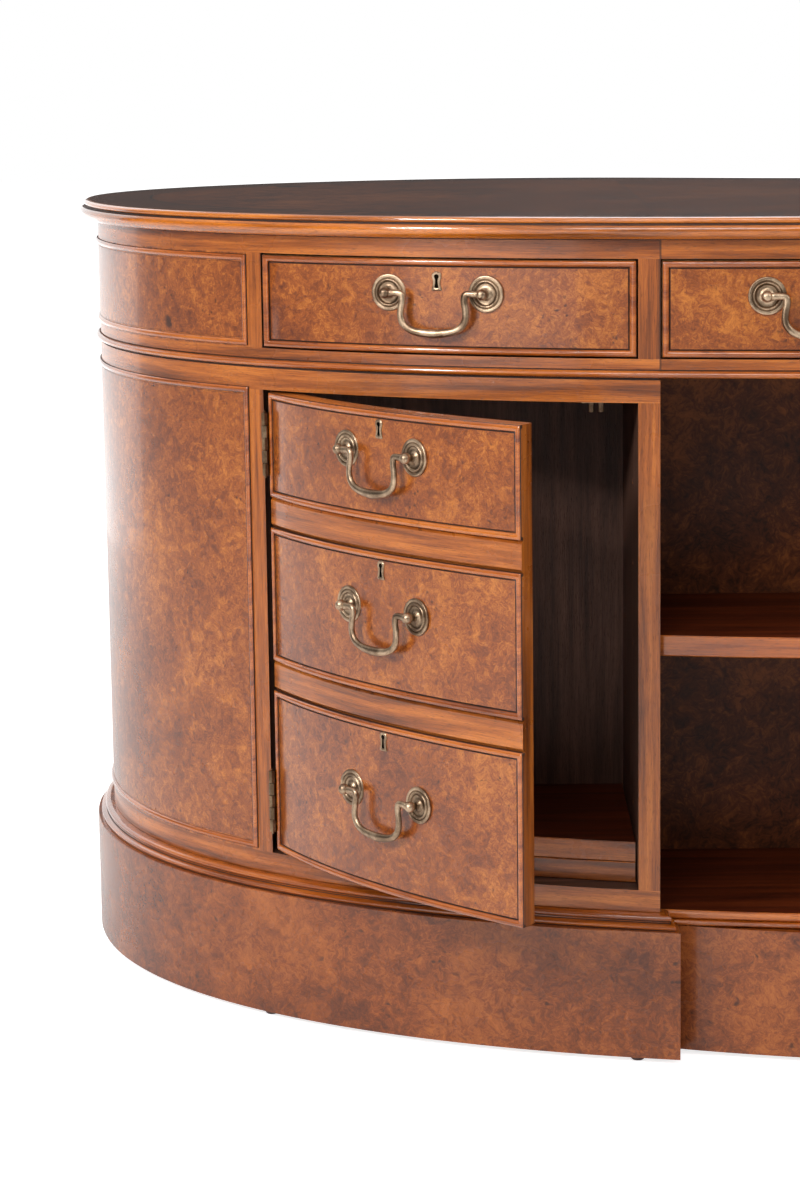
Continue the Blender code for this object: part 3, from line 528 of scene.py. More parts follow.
@dataclass(frozen=True)
class BurrFigure:
    """Burr figure: swirling clumps, bud eyes in clusters, and dark knots here and there."""

    swirl_scale: float = 34.0
    swirl: float = 0.022
    clump_scale: float = 78.0
    clump_share: float = 0.36
    fine_scale: float = 260.0
    fine_share: float = 0.42
    cloud_scale: float = 10.0
    cloud_share: float = 0.32
    figure_span: tuple[float, float] = (0.385, 0.735)
    eye_scale: float = 150.0
    eye_span: tuple[float, float] = (0.32, 0.12)
    cluster_scale: float = 24.0
    cluster_span: tuple[float, float] = (0.50, 0.66)
    knot_scale: float = 8.5
    knot_span: tuple[float, float] = (0.125, 0.075)
    knot_rag: float = 0.10
    eye_dip: float = -0.6

    def group(self) -> bpy.types.NodeTree:
        """Returns the figure's node group."""
        outputs = ("Figure", "Eyes", "Knots", "Height")
        group = make_group("burr_figure", {"Vector": None, "Size": 1.0}, outputs)
        net = Net(group)
        entry, leave = group.nodes["Group Input"], group.nodes["Group Output"]
        scaled = net.node("VectorMath", operation="SCALE")
        net.put(scaled.inputs[0], entry.outputs["Vector"])
        net.put(scaled.inputs["Scale"], entry.outputs["Size"])
        at = scaled.outputs[0]
        waves = {"Vector": at, "Scale": self.swirl_scale, "Detail": 3.0, "Roughness": 0.6}
        drift = net.node("TexNoise", waves).outputs["Color"]
        swirled = net.vector("MULTIPLY_ADD", drift, (self.swirl,) * 3, at)
        clumps = net.noise(swirled, self.clump_scale, 4.0, 0.66, 1.0)
        fine = net.noise(swirled, self.fine_scale, 4.0, 0.70, 1.6)
        clouds = net.noise(at, self.cloud_scale, 4.0, 0.60, 0.5)
        figure = net.math("MULTIPLY", fine, self.fine_share)
        figure = net.math("MULTIPLY_ADD", clumps, self.clump_share, figure)
        figure = net.math("ADD", figure, net.math("MULTIPLY", clouds, self.cloud_share))
        eyes, knot = (net.node("TexVoronoi", {"Vector": swirled, "Scale": scale}).outputs["Distance"]
                      for scale in (self.eye_scale, self.knot_scale))
        cluster = net.span(net.noise(at, self.cluster_scale, 3.0, 0.6), *self.cluster_span)
        dots = net.math("MULTIPLY", net.span(eyes, *self.eye_span), cluster)
        ragged = net.math("MULTIPLY_ADD", net.noise(at, self.eye_scale, 4.0, 0.7), self.knot_rag, knot)
        net.put(leave.inputs["Figure"], net.span(figure, *self.figure_span))
        net.put(leave.inputs["Eyes"], dots)
        net.put(leave.inputs["Knots"], net.span(ragged, *self.knot_span))
        net.put(leave.inputs["Height"], net.math("MULTIPLY_ADD", dots, self.eye_dip, fine))
        return group


@dataclass(frozen=True)
class StraightFigure:
    """Straight figure: broad bands, fine fibres and short pores along the first axis."""

    drift: float = 0.012
    drift_scale: Triple = (3.0, 9.0, 9.0)
    band_scale: Triple = (5.0, 95.0, 95.0)
    band_share: float = 0.70
    fibre_scale: Triple = (26.0, 1500.0, 1500.0)
    fibre_share: float = 0.30
    pore_scale: Triple = (130.0, 2300.0, 2300.0)
    pore_span: tuple[float, float] = (0.60, 0.72)
    figure_span: tuple[float, float] = (0.30, 0.72)
    pore_dip: float = -0.8

    def group(self) -> bpy.types.NodeTree:
        """Returns the figure's node group."""
        group = make_group("straight_figure", {"Vector": None}, ("Figure", "Pores", "Height"))
        net = Net(group)
        at, leave = group.nodes["Group Input"].outputs["Vector"], group.nodes["Group Output"]
        drift = net.node("TexNoise", {"Vector": net.vector("MULTIPLY", at, self.drift_scale), "Scale": 1.0})
        bent = net.vector("MULTIPLY_ADD", drift.outputs["Color"], (0.0, self.drift, self.drift), at)
        bands = net.noise(net.vector("MULTIPLY", bent, self.band_scale), 1.0, 3.0, 0.6)
        fibres = net.noise(net.vector("MULTIPLY", bent, self.fibre_scale), 1.0, 2.0, 0.6)
        pores = net.noise(net.vector("MULTIPLY", bent, self.pore_scale), 1.0, 1.0)
        pits = net.span(pores, *self.pore_span)
        figure = net.math("MULTIPLY", bands, self.band_share)
        figure = net.math("MULTIPLY_ADD", fibres, self.fibre_share, figure)
        net.put(leave.inputs["Figure"], net.span(figure, *self.figure_span))
        net.put(leave.inputs["Pores"], pits)
        net.put(leave.inputs["Height"], net.math("MULTIPLY_ADD", pits, self.pore_dip, fibres))
        return group


@dataclass(frozen=True)
class Polish:
    """Wax and age on a polished surface: cloudy roughness and faint ripples."""

    cloud_scale: float = 9.0
    ripple_scale: float = 42.0

    def group(self) -> bpy.types.NodeTree:
        """Returns the polish's node group."""
        group = make_group("polish", {"Vector": None, "Base": 0.2, "Spread": 0.1}, ("Roughness", "Ripple"))
        net = Net(group)
        entry, leave = group.nodes["Group Input"].outputs, group.nodes["Group Output"].inputs
        cloud = net.noise(entry["Vector"], self.cloud_scale, 4.0, 0.6)
        net.put(leave["Roughness"], net.math("MULTIPLY_ADD", cloud, entry["Spread"], entry["Base"]))
        net.put(leave["Ripple"], net.noise(entry["Vector"], self.ripple_scale))
        return group


GROUPS: dict[type, bpy.types.NodeTree] = {}


def group_node(net: Net, kind: type, inputs: dict[str, object]) -> bpy.types.Node:
    """Returns a node that holds a group, which is built when first asked for.

    Args:
        net: The net that gets the node.
        kind: The class that builds the group.
        inputs: The node's inputs, by name.

    Returns:
        The node.
    """
    if kind not in GROUPS:
        GROUPS[kind] = kind().group()
    made = net.tree.nodes.new("ShaderNodeGroup")
    made.node_tree = GROUPS[kind]
    for key, value in inputs.items():
        net.put(made.inputs[key], value)
    return made


def new_material(name: str) -> tuple[bpy.types.Material, Net, bpy.types.Node]:
    """Returns a new material, its net and its shader."""
    material = bpy.data.materials.new(name)
    material.use_nodes = True
    return material, Net(material.node_tree), material.node_tree.nodes["Principled BSDF"]


@dataclass(frozen=True)
class WoodFinish:
    """A polished wood. Its colours run from the darkest figure to the lightest.

    A seam is the distance from the desk's middle at which two leaves of veneer meet.
    """

    name: str
    dark: Triple
    middle: Triple
    light: Triple
    burr: bool = False
    size: float = 1.0
    gloss: float = 0.22
    gloss_spread: float = 0.12
    coat: float = 0.35
    coat_gloss: float = 0.08
    sheen: float = 0.5
    bump: float = 0.0002
    bump_strength: float = 0.5
    ripple: float = 0.9
    on_object: bool = False
    seam: float = 0.0
    seam_half_width: float = 0.0009
    leaf_shift: float = 0.83
    eye_mark: tuple[float, float] = (0.75, 0.30)
    knot_mark: tuple[float, float] = (0.85, 0.22)
    pore_mark: tuple[float, float] = (0.6, 0.4)
    joint_mark: tuple[float, float] = (0.7, 0.3)

    def material(self) -> bpy.types.Material:
        """Returns the material."""
        material, net, shader = new_material(self.name)
        if self.on_object:
            where = net.node("TexCoord").outputs["Object"]
        else:
            where = net.node("UVMap", uv_map=UV_NAME).outputs[0]
        joint = None
        if self.seam:
            where, joint = self.leaves(net, where)
        if self.burr:
            figure = group_node(net, BurrFigure, {"Vector": where, "Size": self.size})
            tint = self.ramp(net, figure.outputs["Figure"])
            tint = self.marked(net, tint, figure.outputs["Eyes"], self.eye_mark)
            tint = self.marked(net, tint, figure.outputs["Knots"], self.knot_mark)
        else:
            figure = group_node(net, StraightFigure, {"Vector": where})
            tint = self.ramp(net, figure.outputs["Figure"])
            tint = self.marked(net, tint, figure.outputs["Pores"], self.pore_mark)
        if joint:
            tint = self.marked(net, tint, joint, self.joint_mark)
        polish = group_node(net, Polish, {"Vector": where, "Base": self.gloss, "Spread": self.gloss_spread})
        net.put(shader.inputs["Base Color"], tint)
        net.put(shader.inputs["Roughness"], polish.outputs["Roughness"])
        shader.inputs["Specular IOR Level"].default_value = self.sheen
        shader.inputs["Coat Weight"].default_value = self.coat
        shader.inputs["Coat Roughness"].default_value = self.coat_gloss
        height = net.math("MULTIPLY_ADD", polish.outputs["Ripple"], self.ripple, figure.outputs["Height"])
        bump = net.node("Bump", {"Height": height, "Strength": self.bump_strength, "Distance": self.bump})
        net.put(shader.inputs["Normal"], bump.outputs[0])
        return material

    def leaves(self, net: Net,
               where: bpy.types.NodeSocket) -> tuple[bpy.types.NodeSocket, bpy.types.NodeSocket]:
        """Shifts the figure from one leaf of veneer to the next.

        Args:
            net: The material's net.
            where: The place of the figure before the shift.

        Returns:
            The shifted place, and a mask of the line where two leaves meet.
        """
        x = net.node("SeparateXYZ", {"Vector": net.node("TexCoord").outputs["Object"]}).outputs["X"]
        far = net.math("ABSOLUTE", x)
        miss = net.math("ABSOLUTE", net.math("SUBTRACT", far, self.seam))
        leaf = net.math("MULTIPLY", net.math("GREATER_THAN", far, self.seam), net.math("SIGN", x))
        parts = {"X": net.math("MULTIPLY", leaf, self.leaf_shift), "Y": leaf}
        shift = net.node("CombineXYZ", parts).outputs[0]
        return net.vector("ADD", where, shift), net.math("LESS_THAN", miss, self.seam_half_width)

    def marked(self, net: Net, tint: object, mask: object, mark: tuple[float, float]) -> bpy.types.NodeSocket:
        """Returns a colour with marks in a mask, by their cover and their share of the dark colour."""
        cover, share = mark
        return net.mix(net.math("MULTIPLY", mask, cover), tint, tuple(share * c for c in self.dark))

    def ramp(self, net: Net, value: bpy.types.NodeSocket) -> bpy.types.NodeSocket:
        """Returns the figure's colour.

        Args:
            net: The material's net.
            value: The figure, from 0 to 1.

        Returns:
            The colour.
        """
        made = net.node("ValToRGB", {"Fac": value})
        elements = made.color_ramp.elements
        elements[0].color = (*self.dark, 1)
        elements[1].color = (*self.light, 1)
        elements.new(0.5).color = (*self.middle, 1)
        return made.outputs["Color"]


@dataclass(frozen=True)
class BrassFinish:
    """Aged brass: an aged dark colour and a rubbed bright one, mixed in cloudy patches."""

    name: str
    bright: Triple
    aged: Triple
    roughness: float = 0.34
    wear: float = 0.5
    cloud_scale: float = 55.0
    speck_scale: float = 900.0
    speck_share: float = 0.3
    wear_span: tuple[float, float] = (0.80, 1.15)
    rough_spread: float = 0.25
    rough_dip: float = 0.1
    bump: float = 0.0001
    bump_strength: float = 0.25

    def material(self) -> bpy.types.Material:
        """Returns the material."""
        material, net, shader = new_material(self.name)
        where = net.node("TexCoord").outputs["Object"]
        cloud = net.noise(where, self.cloud_scale, 4.0, 0.6)
        speck = net.noise(where, self.speck_scale, 3.0, 0.6)
        low, high = (limit - self.wear / 2 for limit in self.wear_span)
        worn = net.span(net.math("MULTIPLY_ADD", speck, self.speck_share, cloud), low, high)
        net.put(shader.inputs["Base Color"], net.mix(worn, self.aged, self.bright))
        shader.inputs["Metallic"].default_value = 1.0
        rough = net.math("MULTIPLY_ADD", cloud, self.rough_spread, self.roughness - self.rough_dip)
        net.put(shader.inputs["Roughness"], rough)
        bump = net.node("Bump", {"Height": speck, "Strength": self.bump_strength, "Distance": self.bump})
        net.put(shader.inputs["Normal"], bump.outputs[0])
        return material


BOOK_MATCH = 0.341

FINISHES = (
    WoodFinish("burr", (0.105, 0.022, 0.006), (0.290, 0.070, 0.010), (0.560, 0.185, 0.028), burr=True),
    WoodFinish("plinth_burr", (0.085, 0.018, 0.004), (0.235, 0.054, 0.008), (0.420, 0.118, 0.020), burr=True,
               size=0.75),
    # A darker copy of the burr for the bookcase back, with the shade of its deep recess painted in.
    WoodFinish("case_burr", (0.030, 0.007, 0.002), (0.125, 0.031, 0.008), (0.300, 0.084, 0.018), burr=True,
               size=0.45, on_object=True, coat=0.0, gloss=0.4, sheen=0.25),
    WoodFinish("top_burr", (0.090, 0.020, 0.004), (0.250, 0.062, 0.012), (0.440, 0.130, 0.028), burr=True,
               size=0.35, gloss=0.10, gloss_spread=0.06, coat=0.6, bump=0.00004, seam=BOOK_MATCH),
    WoodFinish("crossband", (0.055, 0.015, 0.005), (0.150, 0.042, 0.014), (0.270, 0.085, 0.030), gloss=0.10,
               gloss_spread=0.06, coat=0.6, bump=0.00004),
    WoodFinish("stringing", (0.004, 0.002, 0.001), (0.008, 0.004, 0.002), (0.012, 0.006, 0.003), gloss=0.12,
               coat=0.5, bump=0.00002),
    WoodFinish("straight", (0.105, 0.023, 0.003), (0.360, 0.091, 0.011), (0.590, 0.180, 0.026)),
    WoodFinish("frieze_wood", (0.105, 0.023, 0.003), (0.350, 0.088, 0.011), (0.580, 0.175, 0.026),
               seam=BOOK_MATCH),
    WoodFinish("moulding", (0.160, 0.030, 0.003), (0.400, 0.092, 0.008), (0.560, 0.155, 0.016), gloss=0.14,
               gloss_spread=0.08, coat=0.8),
    WoodFinish("rim", (0.170, 0.040, 0.003), (0.500, 0.128, 0.008), (0.680, 0.205, 0.016), gloss=0.12,
               gloss_spread=0.08, coat=0.8),
    # crevice: near-black painted shade for the quirks of mouldings, the grooves, and the lines beside the
    # beads.
    WoodFinish("crevice", (0.018, 0.006, 0.003), (0.045, 0.014, 0.006), (0.080, 0.026, 0.010), coat=0.0,
               gloss=0.5),
    WoodFinish("inner", (0.044, 0.018, 0.010), (0.100, 0.043, 0.026), (0.175, 0.080, 0.050), gloss=0.45,
               coat=0.0, bump=0.0006),
    # shelf: near-black painted shade for the flat faces of the bookcase floor, its shelf and the loose
    # shelves, which lie in shade.
    WoodFinish("shelf", (0.034, 0.005, 0.001), (0.080, 0.012, 0.002), (0.130, 0.023, 0.004), gloss=0.5,
               coat=0.0, sheen=0.12),
    WoodFinish("drawer_wood", (0.27, 0.130, 0.048), (0.41, 0.220, 0.092), (0.53, 0.315, 0.150), gloss=0.45,
               coat=0.0),
    WoodFinish("dark_wood", (0.04, 0.010, 0.004), (0.075, 0.018, 0.007), (0.11, 0.03, 0.01), on_object=True),
    BrassFinish("brass", (0.60, 0.435, 0.29), (0.22, 0.145, 0.092), roughness=0.33, wear=0.60),
    BrassFinish("dull_brass", (0.34, 0.235, 0.145), (0.13, 0.080, 0.046), roughness=0.40),
    # keyhole: a near-black sheet in the keyhole, painted shade where the hole is.
    BrassFinish("keyhole", (0.012, 0.008, 0.004), (0.004, 0.003, 0.002), roughness=0.7),
)


@dataclass
class Palette:
    """All materials of the desk, each built once."""

    made: dict[str, bpy.types.Material] = field(default_factory=dict)

    def __getitem__(self, name: str) -> bpy.types.Material:
        """Returns a material by name."""
        if name not in self.made:
            self.made[name] = next(item for item in FINISHES if item.name == name).material()
        return self.made[name]


# The workbench: what is done with Blender's tools


def clear_selection() -> None:
    """Deselects everything."""
    bpy.ops.object.select_all(action="DESELECT")


def pick(obj: bpy.types.Object) -> bpy.types.Object:
    """Makes an object the only one selected, and active."""
    clear_selection()
    obj.select_set(True)
    bpy.context.view_layer.objects.active = obj
    return obj


@contextmanager
def editing(obj: bpy.types.Object, kind: str = "VERT", wanted: Callable | None = None) -> Iterator[None]:
    """Opens a mesh in edit mode, and closes it again.

    Args:
        obj: The mesh's object.
        kind: What is selected: VERT, EDGE or FACE.
        wanted: Tells whether an edge or a face is selected. Without it, the whole mesh is.
    """
    pick(obj)
    bpy.ops.object.mode_set(mode="EDIT")
    bpy.ops.mesh.select_mode(type=kind)
    bpy.ops.mesh.select_all(action="DESELECT" if wanted else "SELECT")
    if wanted:
        bpy.ops.object.mode_set(mode="OBJECT")
        for item in obj.data.edges if kind == "EDGE" else obj.data.polygons:
            item.select = bool(wanted(item))
        bpy.ops.object.mode_set(mode="EDIT")
    yield
    bpy.ops.mesh.select_mode(type="VERT")
    bpy.ops.object.mode_set(mode="OBJECT")


def read(items: bpy.types.bpy_prop_collection, name: str, width: int = 1, kind: type = float) -> np.ndarray:
    """Returns a property of all points, corners or faces of a mesh.

    Args:
        items: The points, corners or faces.
        name: The property's name.
        width: How many numbers it has.
        kind: The type of the numbers.

    Returns:
        One row for each item, or one number where the width is 1.
    """
    flat = np.empty(len(items) * width, kind)
    items.foreach_get(name, flat)
    return flat.reshape(-1, width) if width > 1 else flat


def fetched(obj: bpy.types.Object) -> np.ndarray:
    """Returns the mesh's points, one row each."""
    return read(obj.data.vertices, "co", 3)


def stored(obj: bpy.types.Object, points: np.ndarray) -> None:
    """Writes the mesh's points."""
    obj.data.vertices.foreach_set("co", points.ravel())
    obj.data.update()


def settle(obj: bpy.types.Object, angle: float) -> bpy.types.Object:
    """Merges doubles, points the faces outward and smooths the shading below an angle.

    Args:
        obj: The object.
        angle: The angle in degrees up to which neighbouring faces shade as one.

    Returns:
        The same object.
    """
    with editing(obj):
        bpy.ops.mesh.remove_doubles(threshold=DOUBLES)
        bpy.ops.mesh.normals_make_consistent(inside=False)
    bpy.ops.object.shade_smooth_by_angle(angle=math.radians(angle))
    return obj


def finished(obj: bpy.types.Object, palette: "Palette", *names: str) -> bpy.types.Object:
    """Gives an object its materials, in order."""
    for name in names:
        obj.data.materials.append(palette[name])
    return obj


def dress(obj: bpy.types.Object, body: str, nodes: Sequence[str] = ()) -> None:
    """Puts a finished piece on its body, and lets it stand for CAD nodes.

    Args:
        obj: The piece.
        body: The CAD body that carries it.
        nodes: The CAD nodes that it replaces.
    """
    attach(obj, body)
    if nodes:
        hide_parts(*nodes)
    LOG.info("%s: %d faces, on %s", obj.name, len(obj.data.polygons), body)


def placed_mesh(name: str) -> bpy.types.Object:
    """Names the primitive that was added last, and puts its place into its mesh."""
    obj = bpy.context.object
    obj.name = obj.data.name = name
    bpy.ops.object.transform_apply(location=True, rotation=True, scale=True)
    return obj


def cuboid(name: str, low: Sequence[float], high: Sequence[float]) -> bpy.types.Object:
    """Adds a box.

    Args:
        name: Its name.
        low: Its lowest corner.
        high: Its highest corner.

    Returns:
        The box, its place in its mesh.
    """
    clear_selection()
    middle = [(a + b) / 2 for a, b in zip(low, high)]
    bpy.ops.mesh.primitive_cube_add(size=1, location=middle, scale=[b - a for a, b in zip(low, high)])
    return placed_mesh(name)


def bevelled(obj: bpy.types.Object, width: float, segments: int) -> bpy.types.Object:
    """Rounds the sharp edges of an object.

    Args:
        obj: The object.
        width: The width of the rounding.
        segments: How many faces it gets.

    Returns:
        The same object.
    """
    pick(obj)
    modifier = obj.modifiers.new("bevel", "BEVEL")
    modifier.width = width
    modifier.segments = segments
    modifier.limit_method = "ANGLE"
    modifier.angle_limit = math.radians(BEVEL_LIMIT)
    bpy.ops.object.modifier_apply(modifier=modifier.name)
    return obj


def cut(obj: bpy.types.Object, cutters: Sequence[bpy.types.Object]) -> None:
    """Cuts the cutters out of an object, and removes them.

    Args:
        obj: The object.
        cutters: What is cut out of it.
    """
    for cutter in cutters:
        pick(obj)
        modifier = obj.modifiers.new(cutter.name, "BOOLEAN")
        modifier.operation = "DIFFERENCE"
        modifier.object = cutter
        modifier.solver = "EXACT"
        bpy.ops.object.modifier_apply(modifier=modifier.name)
        bpy.data.objects.remove(cutter)


def open_edges(obj: bpy.types.Object) -> set[tuple[int, int]]:
    """Returns the keys of the edges that belong to one face only."""
    counts = Counter(key for polygon in obj.data.polygons for key in polygon.edge_keys)
    return {key for key, count in counts.items() if count == 1}


def fill_openings(obj: bpy.types.Object) -> None:
    """Closes each opening of a mesh with one face."""
    keys = open_edges(obj)
    with editing(obj, "EDGE", lambda edge: edge.key in keys):
        bpy.ops.mesh.edge_face_add()


def flat_grid(name: str, columns: int, rows: int) -> tuple[bpy.types.Object, np.ndarray, np.ndarray]:
    """Adds a grid of points.

    Args:
        name: The name of its object.
        columns: How many points it has along X.
        rows: How many points it has along Y.

    Returns:
        The object, and for each point its column and its row.
    """
    clear_selection()
    bpy.ops.mesh.primitive_grid_add(x_subdivisions=columns - 1, y_subdivisions=rows - 1, size=1)
    obj = bpy.context.object
    obj.name = obj.data.name = name
    points = fetched(obj)
    column = np.rint((points[:, 0] + 0.5) * (columns - 1)).astype(int)
    row = np.rint((points[:, 1] + 0.5) * (rows - 1)).astype(int)
    return obj, column, row


def write_uv(obj: bpy.types.Object, first: np.ndarray, second: np.ndarray) -> None:
    """Writes the veneer's UV map.

    Args:
        obj: The piece.
        first: For each face corner its place along the grain.
        second: For each face corner its place across the grain.
    """
    layer = obj.data.uv_layers.get(UV_NAME) or obj.data.uv_layers.new(name=UV_NAME)
    layer.data.foreach_set("uv", np.stack([first, second], axis=1).astype(np.float32).ravel())
    for other in [item for item in obj.data.uv_layers if item.name != UV_NAME]:
        obj.data.uv_layers.remove(other)


def box_uv(obj: bpy.types.Object, grain: int, offset: float = 0.0) -> None:
    """Lays the veneer's UV on each face by its direction, with the grain along one axis.

    Args:
        obj: The piece, its place already in its mesh.
        grain: The axis along which the grain runs: 0, 1 or 2.
        offset: A shift, so that two pieces don't show the same figure.
    """
    mesh = obj.data
    facing = np.abs(read(mesh.polygons, "normal", 3)).argmax(1)
    facing = np.repeat(facing, read(mesh.polygons, "loop_total", kind=int))
    at = fetched(obj)[read(mesh.loops, "vertex_index", kind=int)]
    near, far = (axis for axis in range(3) if axis != grain)
    along = np.where(facing == grain, at[:, far], at[:, grain])
    across = np.where(facing == near, at[:, far], at[:, near])
    write_uv(obj, along + offset, across + BOX_ACROSS_SHARE * offset)


# What the sub-assemblies are made of


@dataclass(frozen=True)
class Bead:
    """The bead round a veneered field, with a line of painted shade on each side of it: at the gap outside
    it, and in the groove inside it.

    The shares are of its width: where it is divided, and where its outer line and its inner groove, both
    painted with shade, end.
    """

    width: float = 0.006
    depth: float = 0.0025
    line_depth: float = 0.0007
    shares: tuple = (0.0, 0.07, 0.16, 0.28, 0.42, 0.58, 0.73, 0.87, 0.96, 1.0, 1.1, 1.24)
    # Where the painted shade beside the bead ends: a thin outer line by the gap, and the inner groove.
    outer_line: float = 0.072
    inner_line: float = 1.24

    @property
    def edges(self) -> list[float]:
        """Distances from a field's edge at which it is divided."""
        return [self.width * share for share in self.shares]

    def height(self, distance: np.ndarray) -> np.ndarray:
        """Returns how far the bead stands out.

        Args:
            distance: Distances from the field's edge.

        Returns:
            The heights. Past the bead and its groove, which is painted with shade, the field is flat.
        """
        half = self.width / 2
        round_part = self.depth * np.sqrt(np.clip(1 - ((distance - half) / half) ** 2, 0, 1))
        line = (distance > 1.001 * self.width) & (distance < (self.inner_line - 0.01) * self.width)
        return np.where(distance <= self.width, round_part, np.where(line, -self.line_depth, 0.0))

    def zones(self, distance: np.ndarray) -> np.ndarray:
        """Returns which finish is at each distance.

        Args:
            distance: Distances from the field's edge.

        Returns:
            0 for the field, 1 for the bead, 2 for a line of painted shade.
        """
        finish = np.zeros(len(distance), int)
        finish[distance < self.width] = 1
        # Painted shade: the groove inside the bead, and a thin line at the gap outside it.
        finish[(distance > self.width) & (distance < self.inner_line * self.width)] = 2
        finish[distance < self.outer_line * self.width] = 2
        return finish


@dataclass
class Shop:
    """What every sub-assembly is built from: the outline, the shared sizes and the materials."""

    kidney: Kidney
    sizes: Sizes
    palette: Palette

    def face_wrap(self, face: Face) -> tuple[Wrap, Callable[[np.ndarray], np.ndarray]]:
        """Returns how boards whose ends are square to the desk lie on a face.

        Args:
            face: The face.

        Returns:
            Their wrap, and the length along the face at each x.
        """

        def wrap(x: np.ndarray, out: np.ndarray) -> Pair:
            """Returns the x and the y of points on the face."""
            return -face.outward * x, self.kidney.depth(face, x, out)

        return wrap, lambda x: self.kidney.arc(face, x)


@dataclass
class BeadedBoard:
    """A veneered board that is laid out flat, shaped there, and then wrapped round the desk.

    It runs from low to high along x. Its fields, from the top down, each have a bead. A groove runs above
    and below the rail between two fields. Its back is a plane at its thickness.
    """

    name: str
    low: float
    high: float
    fields: Sequence[tuple[float, float]]
    thickness: float
    wrap: Wrap
    arc: Callable[[np.ndarray], np.ndarray]
    offset: float
    back_finish: str = "straight"
    lift: float = 0.0
    groove: float = 0.0
    groove_depth: float = 0.0
    groove_slope: float = 0.0001
    column_step: float = 0.010
    row_step: float = 0.05
    side_level: float = 0.0012
    crease: float = 32.0
    bead: Bead = field(default_factory=Bead)

    def build(self, palette: Palette) -> bpy.types.Object:
        """Builds the board.

        Args:
            palette: The materials.

        Returns:
            The finished board.
        """
        columns, rows = cuts(self.low, self.high, self.column_step, self.bead.edges), self.rows()
        obj, column, row = flat_grid(self.name, len(columns), len(rows))
        x, z = columns[column], rows[row]
        stored(obj, np.stack([x, -self.front(x, z), z], axis=1))
        with editing(obj):
            bpy.ops.mesh.extrude_region_move(TRANSFORM_OT_translate={"value": (0, self.thickness + 1, 0)})
        points = fetched(obj)
        points[read(obj.data.vertices, "select", kind=bool), 1] = self.thickness
        stored(obj, points)
        self.veneer(obj, palette)
        px, py = self.wrap(points[:, 0], -points[:, 1])
        stored(obj, np.stack([px, py, points[:, 2]], axis=1))
        return settle(obj, self.crease)

    def rows(self) -> np.ndarray:
        """Returns the levels at which the board is divided."""
        found = [cuts(bottom, top, self.row_step, self.bead.edges) for bottom, top in self.fields]
        width, slope = self.groove, self.groove_slope
        for (_, upper), (lower, _) in zip(self.fields[1:], self.fields):
            found.append(np.array([upper + slope, upper + width, upper + width + slope,
                                   lower - width - slope, lower - width, lower - slope]))
        return np.unique(np.concatenate(found))

    def distance(self, x: np.ndarray, z: np.ndarray) -> np.ndarray:
        """Returns how far points are inside the nearest field, below zero where they are on a rail."""
        return np.max([border_distance(x, z, self.low, self.high, *levels) for levels in self.fields], axis=0)

    def grooved(self, z: np.ndarray, share: float) -> np.ndarray:
        """Tells which levels are within a share of the groove's width of a field."""
        gaps = [abs(z - level) for levels in self.fields for level in levels]
        return np.min(gaps, axis=0) < share * self.groove

    def front(self, x: np.ndarray, z: np.ndarray) -> np.ndarray:
        """Returns how far the front stands out.

        Args:
            x: Places along the board.
            z: Levels.

        Returns:
            The height of the front at each point.
        """
        distance = self.distance(x, z)
        rail = np.where(self.grooved(z, 0.95), -self.groove_depth, 0.0)
        return np.where(distance < 0, rail, self.bead.height(np.maximum(distance, 0))) + self.lift

    def zones(self, centres: np.ndarray) -> np.ndarray:
        """Returns each face's finish: burr field, bead, painted shade in a groove or beside a bead, or plain
        rail, back and sides.

        Args:
            centres: The faces' middles on the flat board.

        Returns:
            The places of the finishes in the board's list of materials.
        """
        distance = self.distance(centres[:, 0], centres[:, 2])
        finish = self.bead.zones(distance)
        finish[distance < 0] = 3
        # The grooves on the rails get painted shade.
        finish[(distance < 0) & self.grooved(centres[:, 2], 1.0)] = 2
        finish[centres[:, 1] > self.side_level] = 3
        return finish

    def veneer(self, obj: bpy.types.Object, palette: Palette) -> None:
        """Gives the faces their finishes and the corners their UV, while the board is flat.

        Args:
            obj: The flat board.
            palette: The materials.
        """
        # The third finish is painted shade for the grooves and the lines beside the beads.
        mesh = finished(obj, palette, "burr", "moulding", "crevice", self.back_finish).data
        centres, normals = read(mesh.polygons, "center", 3), read(mesh.polygons, "normal", 3)
        mesh.polygons.foreach_set("material_index", self.zones(centres).astype(np.int32))
        at = fetched(obj)[read(mesh.loops, "vertex_index", kind=int)]
        totals = read(mesh.polygons, "loop_total", kind=int)
        out = -at[:, 1]
        first = self.arc(at[:, 0]) - out + self.offset
        second = at[:, 2] + out + ACROSS_SHARE * self.offset
        sides = normals * (centres[:, 1:2] > self.side_level)
        upright, level = (np.repeat(abs(sides[:, axis]) > 0.9, totals) for axis in (0, 2))
        first = np.select([upright, level], [at[:, 2] + self.offset, first + out], first)
        write_uv(obj, first, np.where(upright | level, out, second))


